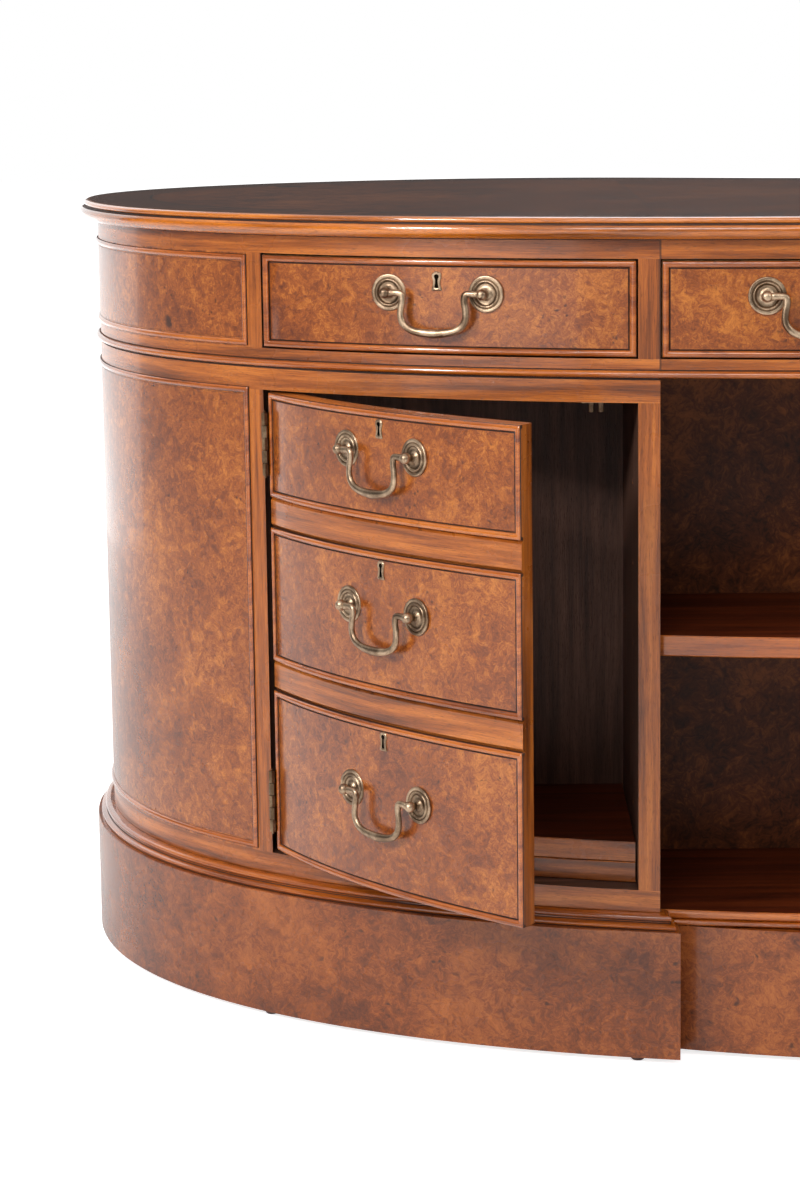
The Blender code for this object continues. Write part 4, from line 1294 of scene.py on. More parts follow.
@dataclass
class Ring:
    """A solid whose outer face follows the whole outline, or one pedestal's, through a stack of levels.

    Its path holds lengths along the outline, its profile offsets and levels. Rows holds for each row of
    faces its place in the list of finishes, and at its end that of the solid's upper face. On the rows in
    across, the grain runs upright.
    """

    name: str
    path: np.ndarray
    profile: Line
    finishes: Sequence[str]
    rows: Sequence[int]
    place: Wrap
    offset: float = 0.0
    across: Sequence[int] = ()

    def build(self, palette: Palette) -> bpy.types.Object:
        """Builds the solid.

        Args:
            palette: The materials.

        Returns:
            The solid, closed by flat faces at its first and last level.
        """
        profile = np.array(self.profile, float)
        obj, column, row = flat_grid(self.name, len(self.path), len(profile))
        run = np.concatenate([[0], np.cumsum(np.linalg.norm(np.diff(profile, axis=0), axis=1))])
        mesh = finished(obj, palette, *self.finishes).data
        loops = read(mesh.loops, "vertex_index", kind=int)
        along, upward = self.path[column][loops] + self.offset, run[row][loops] + ACROSS_SHARE * self.offset
        first, second = along.copy(), upward.copy()
        for polygon in mesh.polygons:
            level = int(min(row[vertex] for vertex in polygon.vertices))
            polygon.material_index = self.rows[level]
            if level in self.across:
                chosen = slice(polygon.loop_start, polygon.loop_start + polygon.loop_total)
                first[chosen], second[chosen] = upward[chosen], along[chosen]
        write_uv(obj, first, second)
        x, y = self.place(self.path[column], profile[row, 0])
        stored(obj, np.stack([x, y, profile[row, 1]], axis=1))
        settle(obj, CASE_CREASE)
        self.close(obj, profile[0, 1], 0)
        self.close(obj, profile[-1, 1], self.rows[-1])
        with editing(obj):
            bpy.ops.mesh.normals_make_consistent(inside=False)
        return obj

    @staticmethod
    def close(obj: bpy.types.Object, level: float, finish: int) -> None:
        """Fills the open edge of the solid at one level, and lays the UV of what fills it.

        Args:
            obj: The solid.
            level: The level of the edge.
            finish: The place of the new faces' finish in the list of finishes.
        """
        before, points, keys = len(obj.data.polygons), fetched(obj), open_edges(obj)

        def wanted(edge: bpy.types.MeshEdge) -> bool:
            """Tells whether an edge is open and at the level."""
            return edge.key in keys and abs(points[list(edge.vertices), 2] - level).max() < DOUBLES

        with editing(obj, "EDGE", wanted):
            bpy.ops.mesh.fill(use_beauty=False)
        layer = obj.data.uv_layers[UV_NAME].data
        for polygon in obj.data.polygons[before:]:
            polygon.material_index = finish
            for loop in polygon.loop_indices:
                layer[loop].uv = points[obj.data.loops[loop].vertex_index][:2]


@dataclass
class LevelBoard:
    """A level board whose front edge is shaped and bent, and whose back is straight.

    Its rows hold the offset and the level of its front edge, from the bottom up, and its front gives the y
    of a point of that edge. Its first finish is that of its flat faces, its last that of its edges.
    """

    name: str
    node: str
    columns: np.ndarray
    rows: Line
    front: Callable[[np.ndarray, np.ndarray], np.ndarray]
    back: float
    finishes: Sequence[str]
    offset: float
    slot: Slot = Slot.STRAIGHT
    flat_limit: float = 0.97

    def build(self, palette: Palette) -> None:
        """Builds the board and puts it on the desk.

        Args:
            palette: The materials.
        """
        rows = np.array([self.rows[0], *self.rows, self.rows[-1]])
        obj, column, row = flat_grid(self.name, len(self.columns), len(rows))
        x = self.columns[column]
        y = np.where((row == 0) | (row == len(rows) - 1), self.back, self.front(x, rows[row, 0]))
        stored(obj, np.stack([x, y, rows[row, 1]], axis=1))
        points = fetched(obj)
        back = points[:, 1].max()

        def rear(edge: bpy.types.MeshEdge) -> bool:
            """Tells whether an edge runs along the back."""
            ends = points[list(edge.vertices)]
            return (abs(ends[:, 1] - back) < 1e-6).all() and abs(ends[0, 2] - ends[1, 2]) < 1e-7

        with editing(obj, "EDGE", rear):
            bpy.ops.mesh.bridge_edge_loops()
        fill_openings(obj)
        settle(obj, BOARD_CREASE)
        box_uv(finished(obj, palette, *self.finishes), 0, self.offset)
        # On the bookcase's boards and the loose shelves, the flat faces' finish is near-black painted shade.
        for polygon in obj.data.polygons:
            polygon.material_index = (len(self.finishes) - 1) * int(abs(polygon.normal.z) < self.flat_limit)
        dress(obj, "desk", [self.node])


# The desk's sub-assemblies


@dataclass
class Top:
    """The veneered top: burr field, dark line, cross-banded border, and moulded edge."""

    edge_width: float = 0.0087
    moulding_width: float = 0.0103
    border_width: float = 0.062
    line_width: float = 0.0022
    spacing: float = 0.009
    runs: tuple = (
        ((0.29, 1.0), (0.50, 0.975), (0.69, 0.90), (0.90, 0.78), (0.985, 0.68), (1.0, 0.59), (0.96, 0.48),
         (0.86, 0.40), (0.75, 0.37)),
        ((0.42, 0.345), (0.395, 0.315)),
        ((0.40, 0.285), (0.49, 0.255), (0.545, 0.20), (0.55, 0.14), (0.50, 0.075), (0.40, 0.04)),
        ((0.20, 0.012), (0.0, 0.0)),
    )

    def build(self, shop: Shop) -> None:
        """Builds the top and puts it on the desk."""
        sizes, kidney = shop.sizes, shop.kidney
        profile, quirks = moulded((), self.runs, (self.edge_width, sizes.height),
                                  (self.moulding_width, sizes.top_thickness))
        edge, inner = len(profile) - 1, self.edge_width - self.border_width
        profile += [(inner, sizes.height), (inner - self.line_width, sizes.height)]
        count = int(2 * kidney.length / self.spacing)
        # The rows at the quirks between the moulding's runs get near-black painted shade.
        dark = {place + step for place in quirks[1:3] for step in (0, 1)}
        rows = [4 if row in dark else 0 for row in range(edge)] + [1, 2, 3]
        obj = Ring(
            "top_board", np.linspace(-kidney.length, kidney.length, count + 1), profile,
            ("rim", "crossband", "stringing", "top_burr", "crevice"), rows, kidney.along, across=[edge],
        ).build(shop.palette)
        points, limit = fetched(obj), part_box("desk_top")[1]
        points[:, 0] *= limit.x / points[:, 0].max()
        points[:, 1] *= min(1.0, limit.y / points[:, 1].max())
        stored(obj, points)
        dress(obj, "desk", ["desk_top"])


@dataclass
class Frieze:
    """The drawer frame under the top, with its astragal and its beaded end panels."""

    top_rail: float = 0.018
    bottom_rail: float = 0.0171
    astragal_height: float = 0.0066
    astragal_depth: float = 0.0045
    astragal_cuts: int = 12
    astragal_foot: float = 0.0002
    quirk: float = 0.0010
    slope: float = 0.0001
    front_pocket: float = 0.120
    back_pocket: float = 0.070
    spacing: float = 0.011
    grain_offset: float = 3.1
    panel_offset: float = 0.7
    drawer_offset: float = 0.4
    drawer_step: float = 1.13

    def levels(self, sizes: Sizes) -> tuple[float, float]:
        """The bottom and top of the drawer openings."""
        return sizes.frieze_level + self.bottom_rail, sizes.under_top - self.top_rail

    def pocket(self, face: Face) -> float:
        """How far behind the desk's widest line the openings of one face end."""
        return -self.front_pocket if face is Face.BOOKCASE else -self.back_pocket

    def openings(self, sizes: Sizes) -> list[tuple[str, Face, float, float]]:
        """Lists the six openings.

        Args:
            sizes: The desk's shared sizes.

        Returns:
            The name, face and x limits of each.
        """
        found = []
        for face in Face:
            for side in Side:
                found.append((f"{side.word}_frieze_drawer_{face.value}", face, *sizes.opening(side)))
            found.append((f"centre_frieze_drawer_{face.value}", face, -sizes.kneehole, sizes.kneehole))
        return found

    def profile(self, sizes: Sizes) -> list[tuple[float, float]]:
        """Lays out the frame's profile.

        Args:
            sizes: The desk's shared sizes.

        Returns:
            The offsets and levels of astragal, quirk, face, and the quirk under the top.
        """
        bottom, top = sizes.frieze_level, sizes.under_top - sizes.seat_gap
        low, high = self.levels(sizes)
        crease = bottom + self.astragal_height
        half = self.astragal_height / 2
        bead = [(self.astragal_depth * math.sin(angle), bottom + half * (1 - math.cos(angle)))
                for angle in np.linspace(0, math.pi, self.astragal_cuts + 1)]
        return [
            (0.0, bottom + self.astragal_foot), *bead[1:-1], (-self.quirk, crease),
            (-self.quirk, crease + self.quirk), (0.0, crease + self.quirk + self.slope),
            (0.0, low), (0.0, high), (0.0, top - self.quirk - 2 * self.slope),
            (-self.quirk, top - self.quirk - self.slope), (-self.quirk, top),
        ]

    def build(self, shop: Shop) -> None:
        """Builds the case and its end panels."""
        sizes, kidney = shop.sizes, shop.kidney
        low, high = self.levels(sizes)
        count = int(2 * kidney.length / self.spacing)
        # Rows 2 are painted shade in the quirks above the astragal and under the top.
        rows = [1] * self.astragal_cuts + [2, 2, 0, 0, 0, 0, 2, 2]
        obj = Ring(
            "frieze_frame", np.linspace(-kidney.length, kidney.length, count + 1), self.profile(sizes),
            ("frieze_wood", "moulding", "crevice", "inner"), rows, kidney.along, self.grain_offset,
            [self.astragal_cuts + 3],
        ).build(shop.palette)
        cutters = []
        for name, face, near, far in self.openings(sizes):
            ys = sorted((self.pocket(face) + kidney.shift, face.outward * sizes.beyond))
            cutters.append(cuboid(f"{name}_opening", (near, ys[0], low), (far, ys[1], high)))
        cut(obj, cutters)
        line_inside(obj, kidney, 3)
        dress(settle(obj, CASE_CREASE), "desk", ["frieze_case"])
        for side in Side:
            EndPanel(f"{side.word}_frieze_panel", side, low + sizes.drawer_gap, high - sizes.drawer_gap,
                     self.panel_offset * side.value).build(shop)


def line_inside(obj: bpy.types.Object, kidney: Kidney, finish: int) -> None:
    """Gives the faces inside a case's openings their own finish, and a UV with the grain along the depth.

    Args:
        obj: The case.
        kidney: The desk's outline.
        finish: The place of the finish in the case's list of materials.
    """
    mesh = obj.data
    layer = mesh.uv_layers[UV_NAME].data
    for polygon in mesh.polygons:
        x, y, _ = polygon.center
        if abs(x) >= kidney.half_width - LINING_END:
            continue
        face = Face.BOOKCASE if y < kidney.shift else Face.SITTER
        inside = face.outward * (kidney.edge(face, x) - y)
        upright = abs(polygon.normal.z) < 0.5
        flat_end = abs(polygon.normal.z) > 0.9 and finish != polygon.material_index
        if inside > LINING_DEPTH and (upright or flat_end):
            polygon.material_index = finish
            for loop in polygon.loop_indices:
                point = mesh.vertices[mesh.loops[loop].vertex_index].co
                layer[loop].uv = (point.z, point.x + point.y) if upright else (point.x, point.y)


@dataclass
class EndPanel:
    """A veneered panel with a bead round it, which wraps round one end of the desk."""

    name: str
    side: Side
    bottom: float
    top: float
    offset: float
    seat: float = 0.003
    lift: float = 0.0002
    row_step: float = 0.08

    def build(self, shop: Shop) -> None:
        """Builds the panel and puts it on the desk."""
        sizes, kidney = shop.sizes, shop.kidney
        end = -(sizes.reach + sizes.end_stile)
        start, stop = kidney.arc_at(Face.BOOKCASE, end), -kidney.length - kidney.arc_at(Face.SITTER, end)
        low, high = (stop, start) if self.side is Side.LEFT else (-start, -stop)
        board = BeadedBoard(self.name, low, high, [(self.bottom, self.top)], self.seat, kidney.along,
                            lambda x: x, self.offset, lift=self.lift, row_step=self.row_step)
        dress(board.build(shop.palette), "desk")


@dataclass
class Pedestal:
    """One pedestal: a case with a cupboard on one side and drawer openings on the other."""

    side: Side
    back_depth: float = 0.272
    pocket_depth: float = 0.160
    drawer_shares: tuple[float, float, float] = (0.257, 0.333, 0.410)
    quirk: float = 0.0012
    slope: float = 0.0002
    panel_rise: float = 0.002
    panel_offset: float = 2.3
    peg_radius: float = 0.0028
    peg_depth: float = 0.007
    peg_front: float = 0.094
    peg_back: float = 0.034
    peg_level: float = 0.222
    peg_pitch: float = 0.076
    peg_rows: int = 5
    spacing: float = 0.010
    inner_cuts: int = 24
    grain_offset: float = 1.7
    drawer_offset: float = 2.9

    def outline(self, shop: Shop, out: float) -> Pair:
        """Returns the pedestal's outer line.

        Args:
            shop: What the pedestal is built from.
            out: How far the line is moved out.

        Returns:
            The line's points, and the length run at each of them.
        """
        kidney, inner = shop.kidney, shop.sizes.kneehole - out
        line = kidney.points + out * kidney.normals
        corners = [(-inner, kidney.edge(face, inner, out)) for face in Face]
        line = np.vstack([corners[0], line[line[:, 0] < -inner], corners[1]])
        return line, np.concatenate([[0], np.cumsum(np.linalg.norm(np.diff(line, axis=0), axis=1))])

    def path(self, shop: Shop) -> np.ndarray:
        """Returns lengths run round the pedestal: its outer line, then its straight inner side."""
        line, run = self.outline(shop, 0.0)
        width = float(np.linalg.norm(line[-1] - line[0]))
        outer = np.linspace(0, run[-1], int(run[-1] / self.spacing) + 1)
        return np.concatenate([outer, run[-1] + np.linspace(0, width, self.inner_cuts + 1)[1:]])

    def place(self, shop: Shop) -> Wrap:
        """Returns what places a point by its length run round the pedestal and its offset."""
        base, base_run = self.outline(shop, 0.0)
        width = float(np.linalg.norm(base[-1] - base[0]))

        def placed(way: np.ndarray, out: np.ndarray) -> Pair:
            """Returns the x and the y of points on this side of the desk."""
            found = np.empty((2, len(way)))
            for value in np.unique(np.round(out, OFFSET_DIGITS)):
                line, run = self.outline(shop, value)
                line = np.vstack([line, line[0]])
                run = np.append(run / run[-1] * base_run[-1], base_run[-1] + width)
                chosen = np.round(out, OFFSET_DIGITS) == value
                for axis in (0, 1):
                    found[axis, chosen] = np.interp(way[chosen], run, line[:, axis])
            return -self.side.value * found[0], found[1]

        return placed

    def levels(self, sizes: Sizes) -> list[tuple[float, float]]:
        """Divides the pedestal's height among its drawers.

        Args:
            sizes: The desk's shared sizes.

        Returns:
            Bottom and top of each drawer opening, from the top down.
        """
        space = sizes.cupboard_top - sizes.cupboard_floor - (len(self.drawer_shares) - 1) * sizes.drawer_rail
        found, top = [], sizes.cupboard_top
        for share in self.drawer_shares:
            bottom = top - share * space / sum(self.drawer_shares)
            found.append((bottom, top))
            top = bottom - sizes.drawer_rail
        return found

    def peg_drill(self, shop: Shop) -> bpy.types.Object:
        """Returns all that is drilled out of the cupboard's walls for shelf pegs, as one object."""
        sizes, kidney = shop.sizes, shop.kidney
        clear_selection()
        drills = []
        for wall in (sizes.jamb, sizes.reach):
            front, back = kidney.edge(Face.BOOKCASE, wall), kidney.shift - self.back_depth
            for y, number in product((front + self.peg_front, back - self.peg_back), range(self.peg_rows)):
                bpy.ops.mesh.primitive_cylinder_add(
                    vertices=16, radius=self.peg_radius, depth=2 * self.peg_depth,
                    location=(self.side.value * wall, y, self.peg_level + number * self.peg_pitch),
                    rotation=(0, math.pi / 2, 0),
                )
                drills.append(bpy.context.object)
        for drill in drills:
            drill.select_set(True)
        bpy.ops.object.join()
        return placed_mesh(f"{self.side.word}_peg_drill")

    def build(self, shop: Shop) -> None:
        """Builds the case and its end panel."""
        sizes, kidney, name = shop.sizes, shop.kidney, self.side.word
        bottom, top = sizes.case_level + sizes.seat_gap, sizes.frieze_level - sizes.seat_gap
        profile = [(0.0, bottom), (0.0, sizes.cupboard_floor), (0.0, sizes.cupboard_top),
                   (0.0, top - self.quirk - 2 * self.slope), (-self.quirk, top - self.quirk - self.slope),
                   (-self.quirk, top)]
        # The quirk under the frieze gets painted shade.
        obj = Ring(
            f"{name}_case", self.path(shop), profile, ("straight", "inner", "crevice"), [0, 0, 0, 2, 2, 2],
            self.place(shop), self.grain_offset * self.side.value, [1],
        ).build(shop.palette)
        near, far = sizes.opening(self.side)
        cutters = [cuboid(f"{name}_cupboard", (near, -sizes.beyond, sizes.cupboard_floor),
                          (far, kidney.shift - self.back_depth, sizes.cupboard_top))]
        for number, (low, high) in enumerate(self.levels(sizes)):
            cutters.append(cuboid(f"{name}_pocket_{number}", (near, kidney.shift - self.pocket_depth, low),
                                  (far, sizes.beyond, high)))
        cut(obj, cutters + [self.peg_drill(shop)])
        line_inside(obj, kidney, 1)
        dress(settle(obj, CASE_CREASE), "desk", [f"{name}_pedestal"])
        EndPanel(f"{name}_case_panel", self.side, sizes.cupboard_floor + self.panel_rise,
                 sizes.cupboard_top + self.panel_rise, self.panel_offset * self.side.value).build(shop)


@dataclass
class Plinth:
    """A pedestal's plinth, with the moulding on top of it and the glides under it."""

    pedestal: Pedestal
    runs: tuple = (
        ((0.80, 1.0), (0.72, 0.99)),
        ((0.735, 0.90), (0.79, 0.80), (0.775, 0.68), (0.66, 0.60), (0.52, 0.55)),
        ((0.46, 0.50), (0.45, 0.45)),
        ((0.50, 0.38), (0.545, 0.28), (0.535, 0.16), (0.44, 0.06), (0.32, 0.02), (0.22, 0.0)),
    )
    arris: tuple[float, float] = (0.0006, 0.0008)
    housing_play: float = 0.001
    housing_end: float = 0.2
    glide_radius: float = 0.008
    foot_radius: float = 0.0055
    foot_rounding: float = 0.0012
    foot_crease: float = 40.0
    glide_inset: float = 0.012
    floor_back: float = 0.297
    grain_offset: float = 5.3

    def build(self, shop: Shop) -> None:
        """Builds the plinth and its glides."""
        sizes, kidney, side = shop.sizes, shop.kidney, self.pedestal.side
        depth, (inward, downward) = sizes.plinth_depth, self.arris
        block = [(depth, sizes.glide_height), (depth, sizes.plinth_height - downward),
                 (depth - inward, sizes.plinth_height)]
        profile, quirks = moulded(block, self.runs, (0.0, sizes.case_level), (depth, sizes.base_moulding))
        # The quirks between the moulding's runs get painted shade.
        rows = [0, 0, 0] + [2 if row in quirks[1:] else 1 for row in range(3, len(profile))]
        obj = Ring(
            f"{side.word}_plinth_block", self.pedestal.path(shop), profile,
            ("plinth_burr", "moulding", "crevice"), rows, self.pedestal.place(shop),
            self.grain_offset * side.value,
        ).build(shop.palette)
        low, high = sorted((side.value * (sizes.kneehole + self.housing_play), side.value * self.housing_end))
        front = kidney.edge(Face.BOOKCASE, sizes.kneehole, -sizes.floor_inset)
        cut(obj, [cuboid(f"{side.word}_housing", (low, front, sizes.centre_plinth_height),
                         (high, kidney.shift - self.floor_back, self.housing_end))])
        dress(settle(obj, CASE_CREASE), "desk", [f"{side.word}_plinth"])
        self.glides(shop, side)

    def glides(self, shop: Shop, side: Side) -> None:
        """Builds the four dome glides of one plinth.

        Args:
            shop: What the glides are built from.
            side: The plinth's side.
        """
        sizes = shop.sizes
        for number, (face, x) in enumerate(product(Face, (sizes.reach, sizes.jamb)), start=1):
            clear_selection()
            inset = sizes.plinth_depth - self.glide_inset
            spot = shop.kidney.place(face, side.value * x) @ Vector((0, -inset, 0))
            bpy.ops.mesh.primitive_cone_add(
                vertices=32, radius1=self.foot_radius, radius2=self.glide_radius, depth=sizes.glide_height,
                location=(spot.x, spot.y, sizes.glide_height / 2),
            )
            obj = bevelled(placed_mesh(f"{side.word}_glide_{number}"), self.foot_rounding, 3)
            box_uv(finished(obj, shop.palette, "dark_wood"), 0)
            dress(settle(obj, self.foot_crease), "desk")


@dataclass
class Bookcase:
    """The open case between the pedestals: floor, back, shelf and the bowed plinth below."""

    back_depth: float = 0.309
    back_thickness: float = 0.012
    shelf_thickness: float = 0.019
    shelf_top: float = 0.396
    arris: float = 0.001
    bow_depth: float = 0.582
    bow_radius: float = 1.06
    nose: float = 0.0045
    divisions: int = 61
    floor_profile: tuple = ((1.0, 0.0), (0.45, 0.06), (0.1, 0.16), (0.08, 0.25), (0.3, 0.34), (1.0, 0.41),
                            (0.55, 0.47), (0.1, 0.58), (0.0, 0.70), (0.0, 0.84), (0.2, 0.93), (0.55, 1.0))
    floor_offset: float = 4.1
    shelf_offset: float = 7.7
    plinth_offset: float = 9.3

    def build(self, shop: Shop) -> None:
        """Builds the bookcase's boards, and dresses the CAD's back panel."""
        sizes, kidney = shop.sizes, shop.kidney
        half, back = sizes.kneehole - sizes.seat_gap, kidney.shift - self.back_depth
        behind, under = back + self.back_thickness, sizes.centre_plinth_height + sizes.seat_gap
        inset, top, low = sizes.floor_inset, self.shelf_top, self.shelf_top - self.shelf_thickness
        floor = [(-inset - share * self.nose, under + up * (sizes.case_level - under))
                 for share, up in self.floor_profile]
        shelf = [(-inset - self.arris, low), (-inset, low + self.arris), (-inset, top - self.arris),
                 (-inset - self.arris, top)]
        columns = np.linspace(-half, half, self.divisions)
        # The flat faces get the near-black shelf finish, painted shade of the recess.
        wood = ("shelf", "moulding")

        def edge(x: np.ndarray, out: np.ndarray) -> np.ndarray:
            """Returns the y of points offset from the face."""
            return kidney.depth(Face.BOOKCASE, x, out)

        def bow(x: np.ndarray, _: np.ndarray) -> np.ndarray:
            """Returns the y of points of the bowed plinth."""
            return kidney.shift - self.bow_depth + self.bow_radius - np.sqrt(self.bow_radius**2 - x**2)

        LevelBoard("case_floor", "bookcase_floor", columns, floor, edge, behind, wood,
                   self.floor_offset).build(shop.palette)
        LevelBoard("case_shelf", "bookcase_shelf", columns, shelf, edge, back - sizes.seat_gap, wood,
                   self.shelf_offset).build(shop.palette)
        half = sizes.kneehole - sizes.plinth_depth - sizes.seat_gap
        LevelBoard("centre_plinth_block", "centre_plinth", np.linspace(-half, half, self.divisions),
                   [(0.0, sizes.glide_height), (0.0, sizes.centre_plinth_height)], bow, behind,
                   ("plinth_burr",), self.plinth_offset, Slot.BURR).build(shop.palette)
        # The back panel gets the darker copy of the burr, which paints in the recess's shade.
        panel = frame["nodes"]["bookcase_back"]
        panel.data.materials.clear()
        finished(panel, shop.palette, "case_burr")


@dataclass
class Drawer:
    """A drawer: its beaded, curved front and its tray.

    It fills an opening from near to far and from bottom to top. Its pocket tells where the opening ends
    behind the desk's widest line.
    """

    name: str
    face: Face
    near: float
    far: float
    bottom: float
    top: float
    pocket: float
    offset: float
    wall: float = 0.010
    floor: float = 0.006
    drop: float = 0.012
    play: float = 0.001
    end_play: float = 0.004
    lap: float = 0.003
    rounding: float = 0.0006
    divisions: int = 31

    def build(self, shop: Shop) -> None:
        """Builds the drawer and puts it on its body."""
        sizes, turn = shop.sizes, -self.face.outward
        low, high = sorted((turn * self.near, turn * self.far))
        low, high = low + sizes.drawer_gap, high - sizes.drawer_gap
        bottom, top = self.bottom + sizes.drawer_gap, self.top - sizes.drawer_gap
        board = BeadedBoard(f"{self.name}_face", low, high, [(bottom, top)], sizes.front_thickness,
                            *shop.face_wrap(self.face), self.offset, "drawer_wood")
        dress(board.build(shop.palette), self.name, [self.name])
        self.tray(shop, low + self.play, high - self.play, self.bottom + sizes.seat_gap, top - self.drop)

    def tray(self, shop: Shop, low: float, high: float, bottom: float, top: float) -> None:
        """Builds the tray: a bottom that follows the front, with three walls raised from it.

        Args:
            shop: What the tray is built from.
            low: One side of the tray, along its face.
            high: Its other side.
            bottom: The tray's underside.
            top: The top of its walls.
        """
        turn, end = -self.face.outward, shop.kidney.shift + (self.pocket + self.face.outward * self.end_play)
        sides, wall_end = (low + self.wall, high - self.wall), end - turn * self.wall
        columns = np.concatenate([[low], np.linspace(*sides, self.divisions), [high]])
        obj, column, row = flat_grid(f"{self.name}_box", len(columns), 3)
        x = turn * columns[column]
        front = shop.kidney.depth(self.face, x, np.full(x.shape, -shop.sizes.front_thickness + self.lap))
        y = np.select([row == 0, row == 1], [front, wall_end], end)
        stored(obj, np.stack([x, y, np.full(x.shape, bottom)], axis=1))
        with editing(obj):
            bpy.ops.mesh.extrude_region_move(TRANSFORM_OT_translate={"value": (0, 0, self.floor)})
        level = bottom + self.floor
        inner_low, inner_high = sorted(turn * side for side in sides)

        def walled(polygon: bpy.types.MeshPolygon) -> bool:
            """Tells whether a face of the floor carries a wall."""
            cx, cy, cz = polygon.center
            outside = cx < inner_low or cx > inner_high or turn * (cy - wall_end) > 0
            return outside and abs(cz - level) < 1e-6 and abs(polygon.normal.z) > 0.9

        with editing(obj, "FACE", walled):
            bpy.ops.mesh.extrude_region_move(TRANSFORM_OT_translate={"value": (0, 0, top - level)})
        settle(bevelled(obj, self.rounding, 1), BOARD_CREASE)
        box_uv(finished(obj, shop.palette, "drawer_wood"), 1, self.offset)
        nodes = [node for node in (f"{self.name}_tray",) if node in frame["nodes"]]
        dress(obj, self.name, nodes)


@dataclass
class Door:
    """A cupboard door, faced as three drawers."""

    side: Side
    opening: float
    gap: float = 0.002
    hinge_gap: float = 0.0026
    foot_gap: float = 0.0045
    shares: tuple[float, float, float] = (0.225, 0.292, 0.355)
    rail_share: float = 0.064
    groove: float = 0.003
    groove_depth: float = 0.003
    grain_offset: float = 6.1

    def levels(self, bottom: float, top: float) -> list[tuple[float, float]]:
        """Divides the door's height among its dummy fronts.

        Args:
            bottom: The lower end of the door.
            top: Its upper end.

        Returns:
            Bottom and top of each dummy front, from the top down.
        """
        unit = (top - bottom) / (sum(self.shares) + 2 * self.rail_share)
        found, level = [], top
        for share in self.shares:
            found.append((level - unit * share, level))
            level -= unit * (share + self.rail_share)
        return found

    def swing(self) -> Matrix:
        """The turn from the closed door to how it rests, about its hinge."""
        joint = next(j for j in frame["joints"] if j["name"] == f"{self.side.word}_door_hinge")
        pin = Vector(joint["pos_m"])
        angle = math.radians(self.side.value * self.opening)
        return Matrix.Translation(pin) @ Matrix.Rotation(angle, 4, "Z") @ Matrix.Translation(-pin)

    def build(self, shop: Shop) -> None:
        """Builds the door and puts it on its body."""
        sizes, name = shop.sizes, f"{self.side.word}_door"
        ends = (sizes.jamb + self.gap, sizes.reach - self.hinge_gap)
        low, high = sorted(self.side.value * end for end in ends)
        levels = self.levels(sizes.cupboard_floor + self.foot_gap, sizes.cupboard_top - self.gap)
        board = BeadedBoard(f"{name}_board", low, high, levels, sizes.front_thickness,
                            *shop.face_wrap(Face.BOOKCASE), self.grain_offset * self.side.value,
                            groove=self.groove, groove_depth=self.groove_depth)
        obj = board.build(shop.palette)
        obj.data.transform(self.swing())
        dress(obj, name, [name])


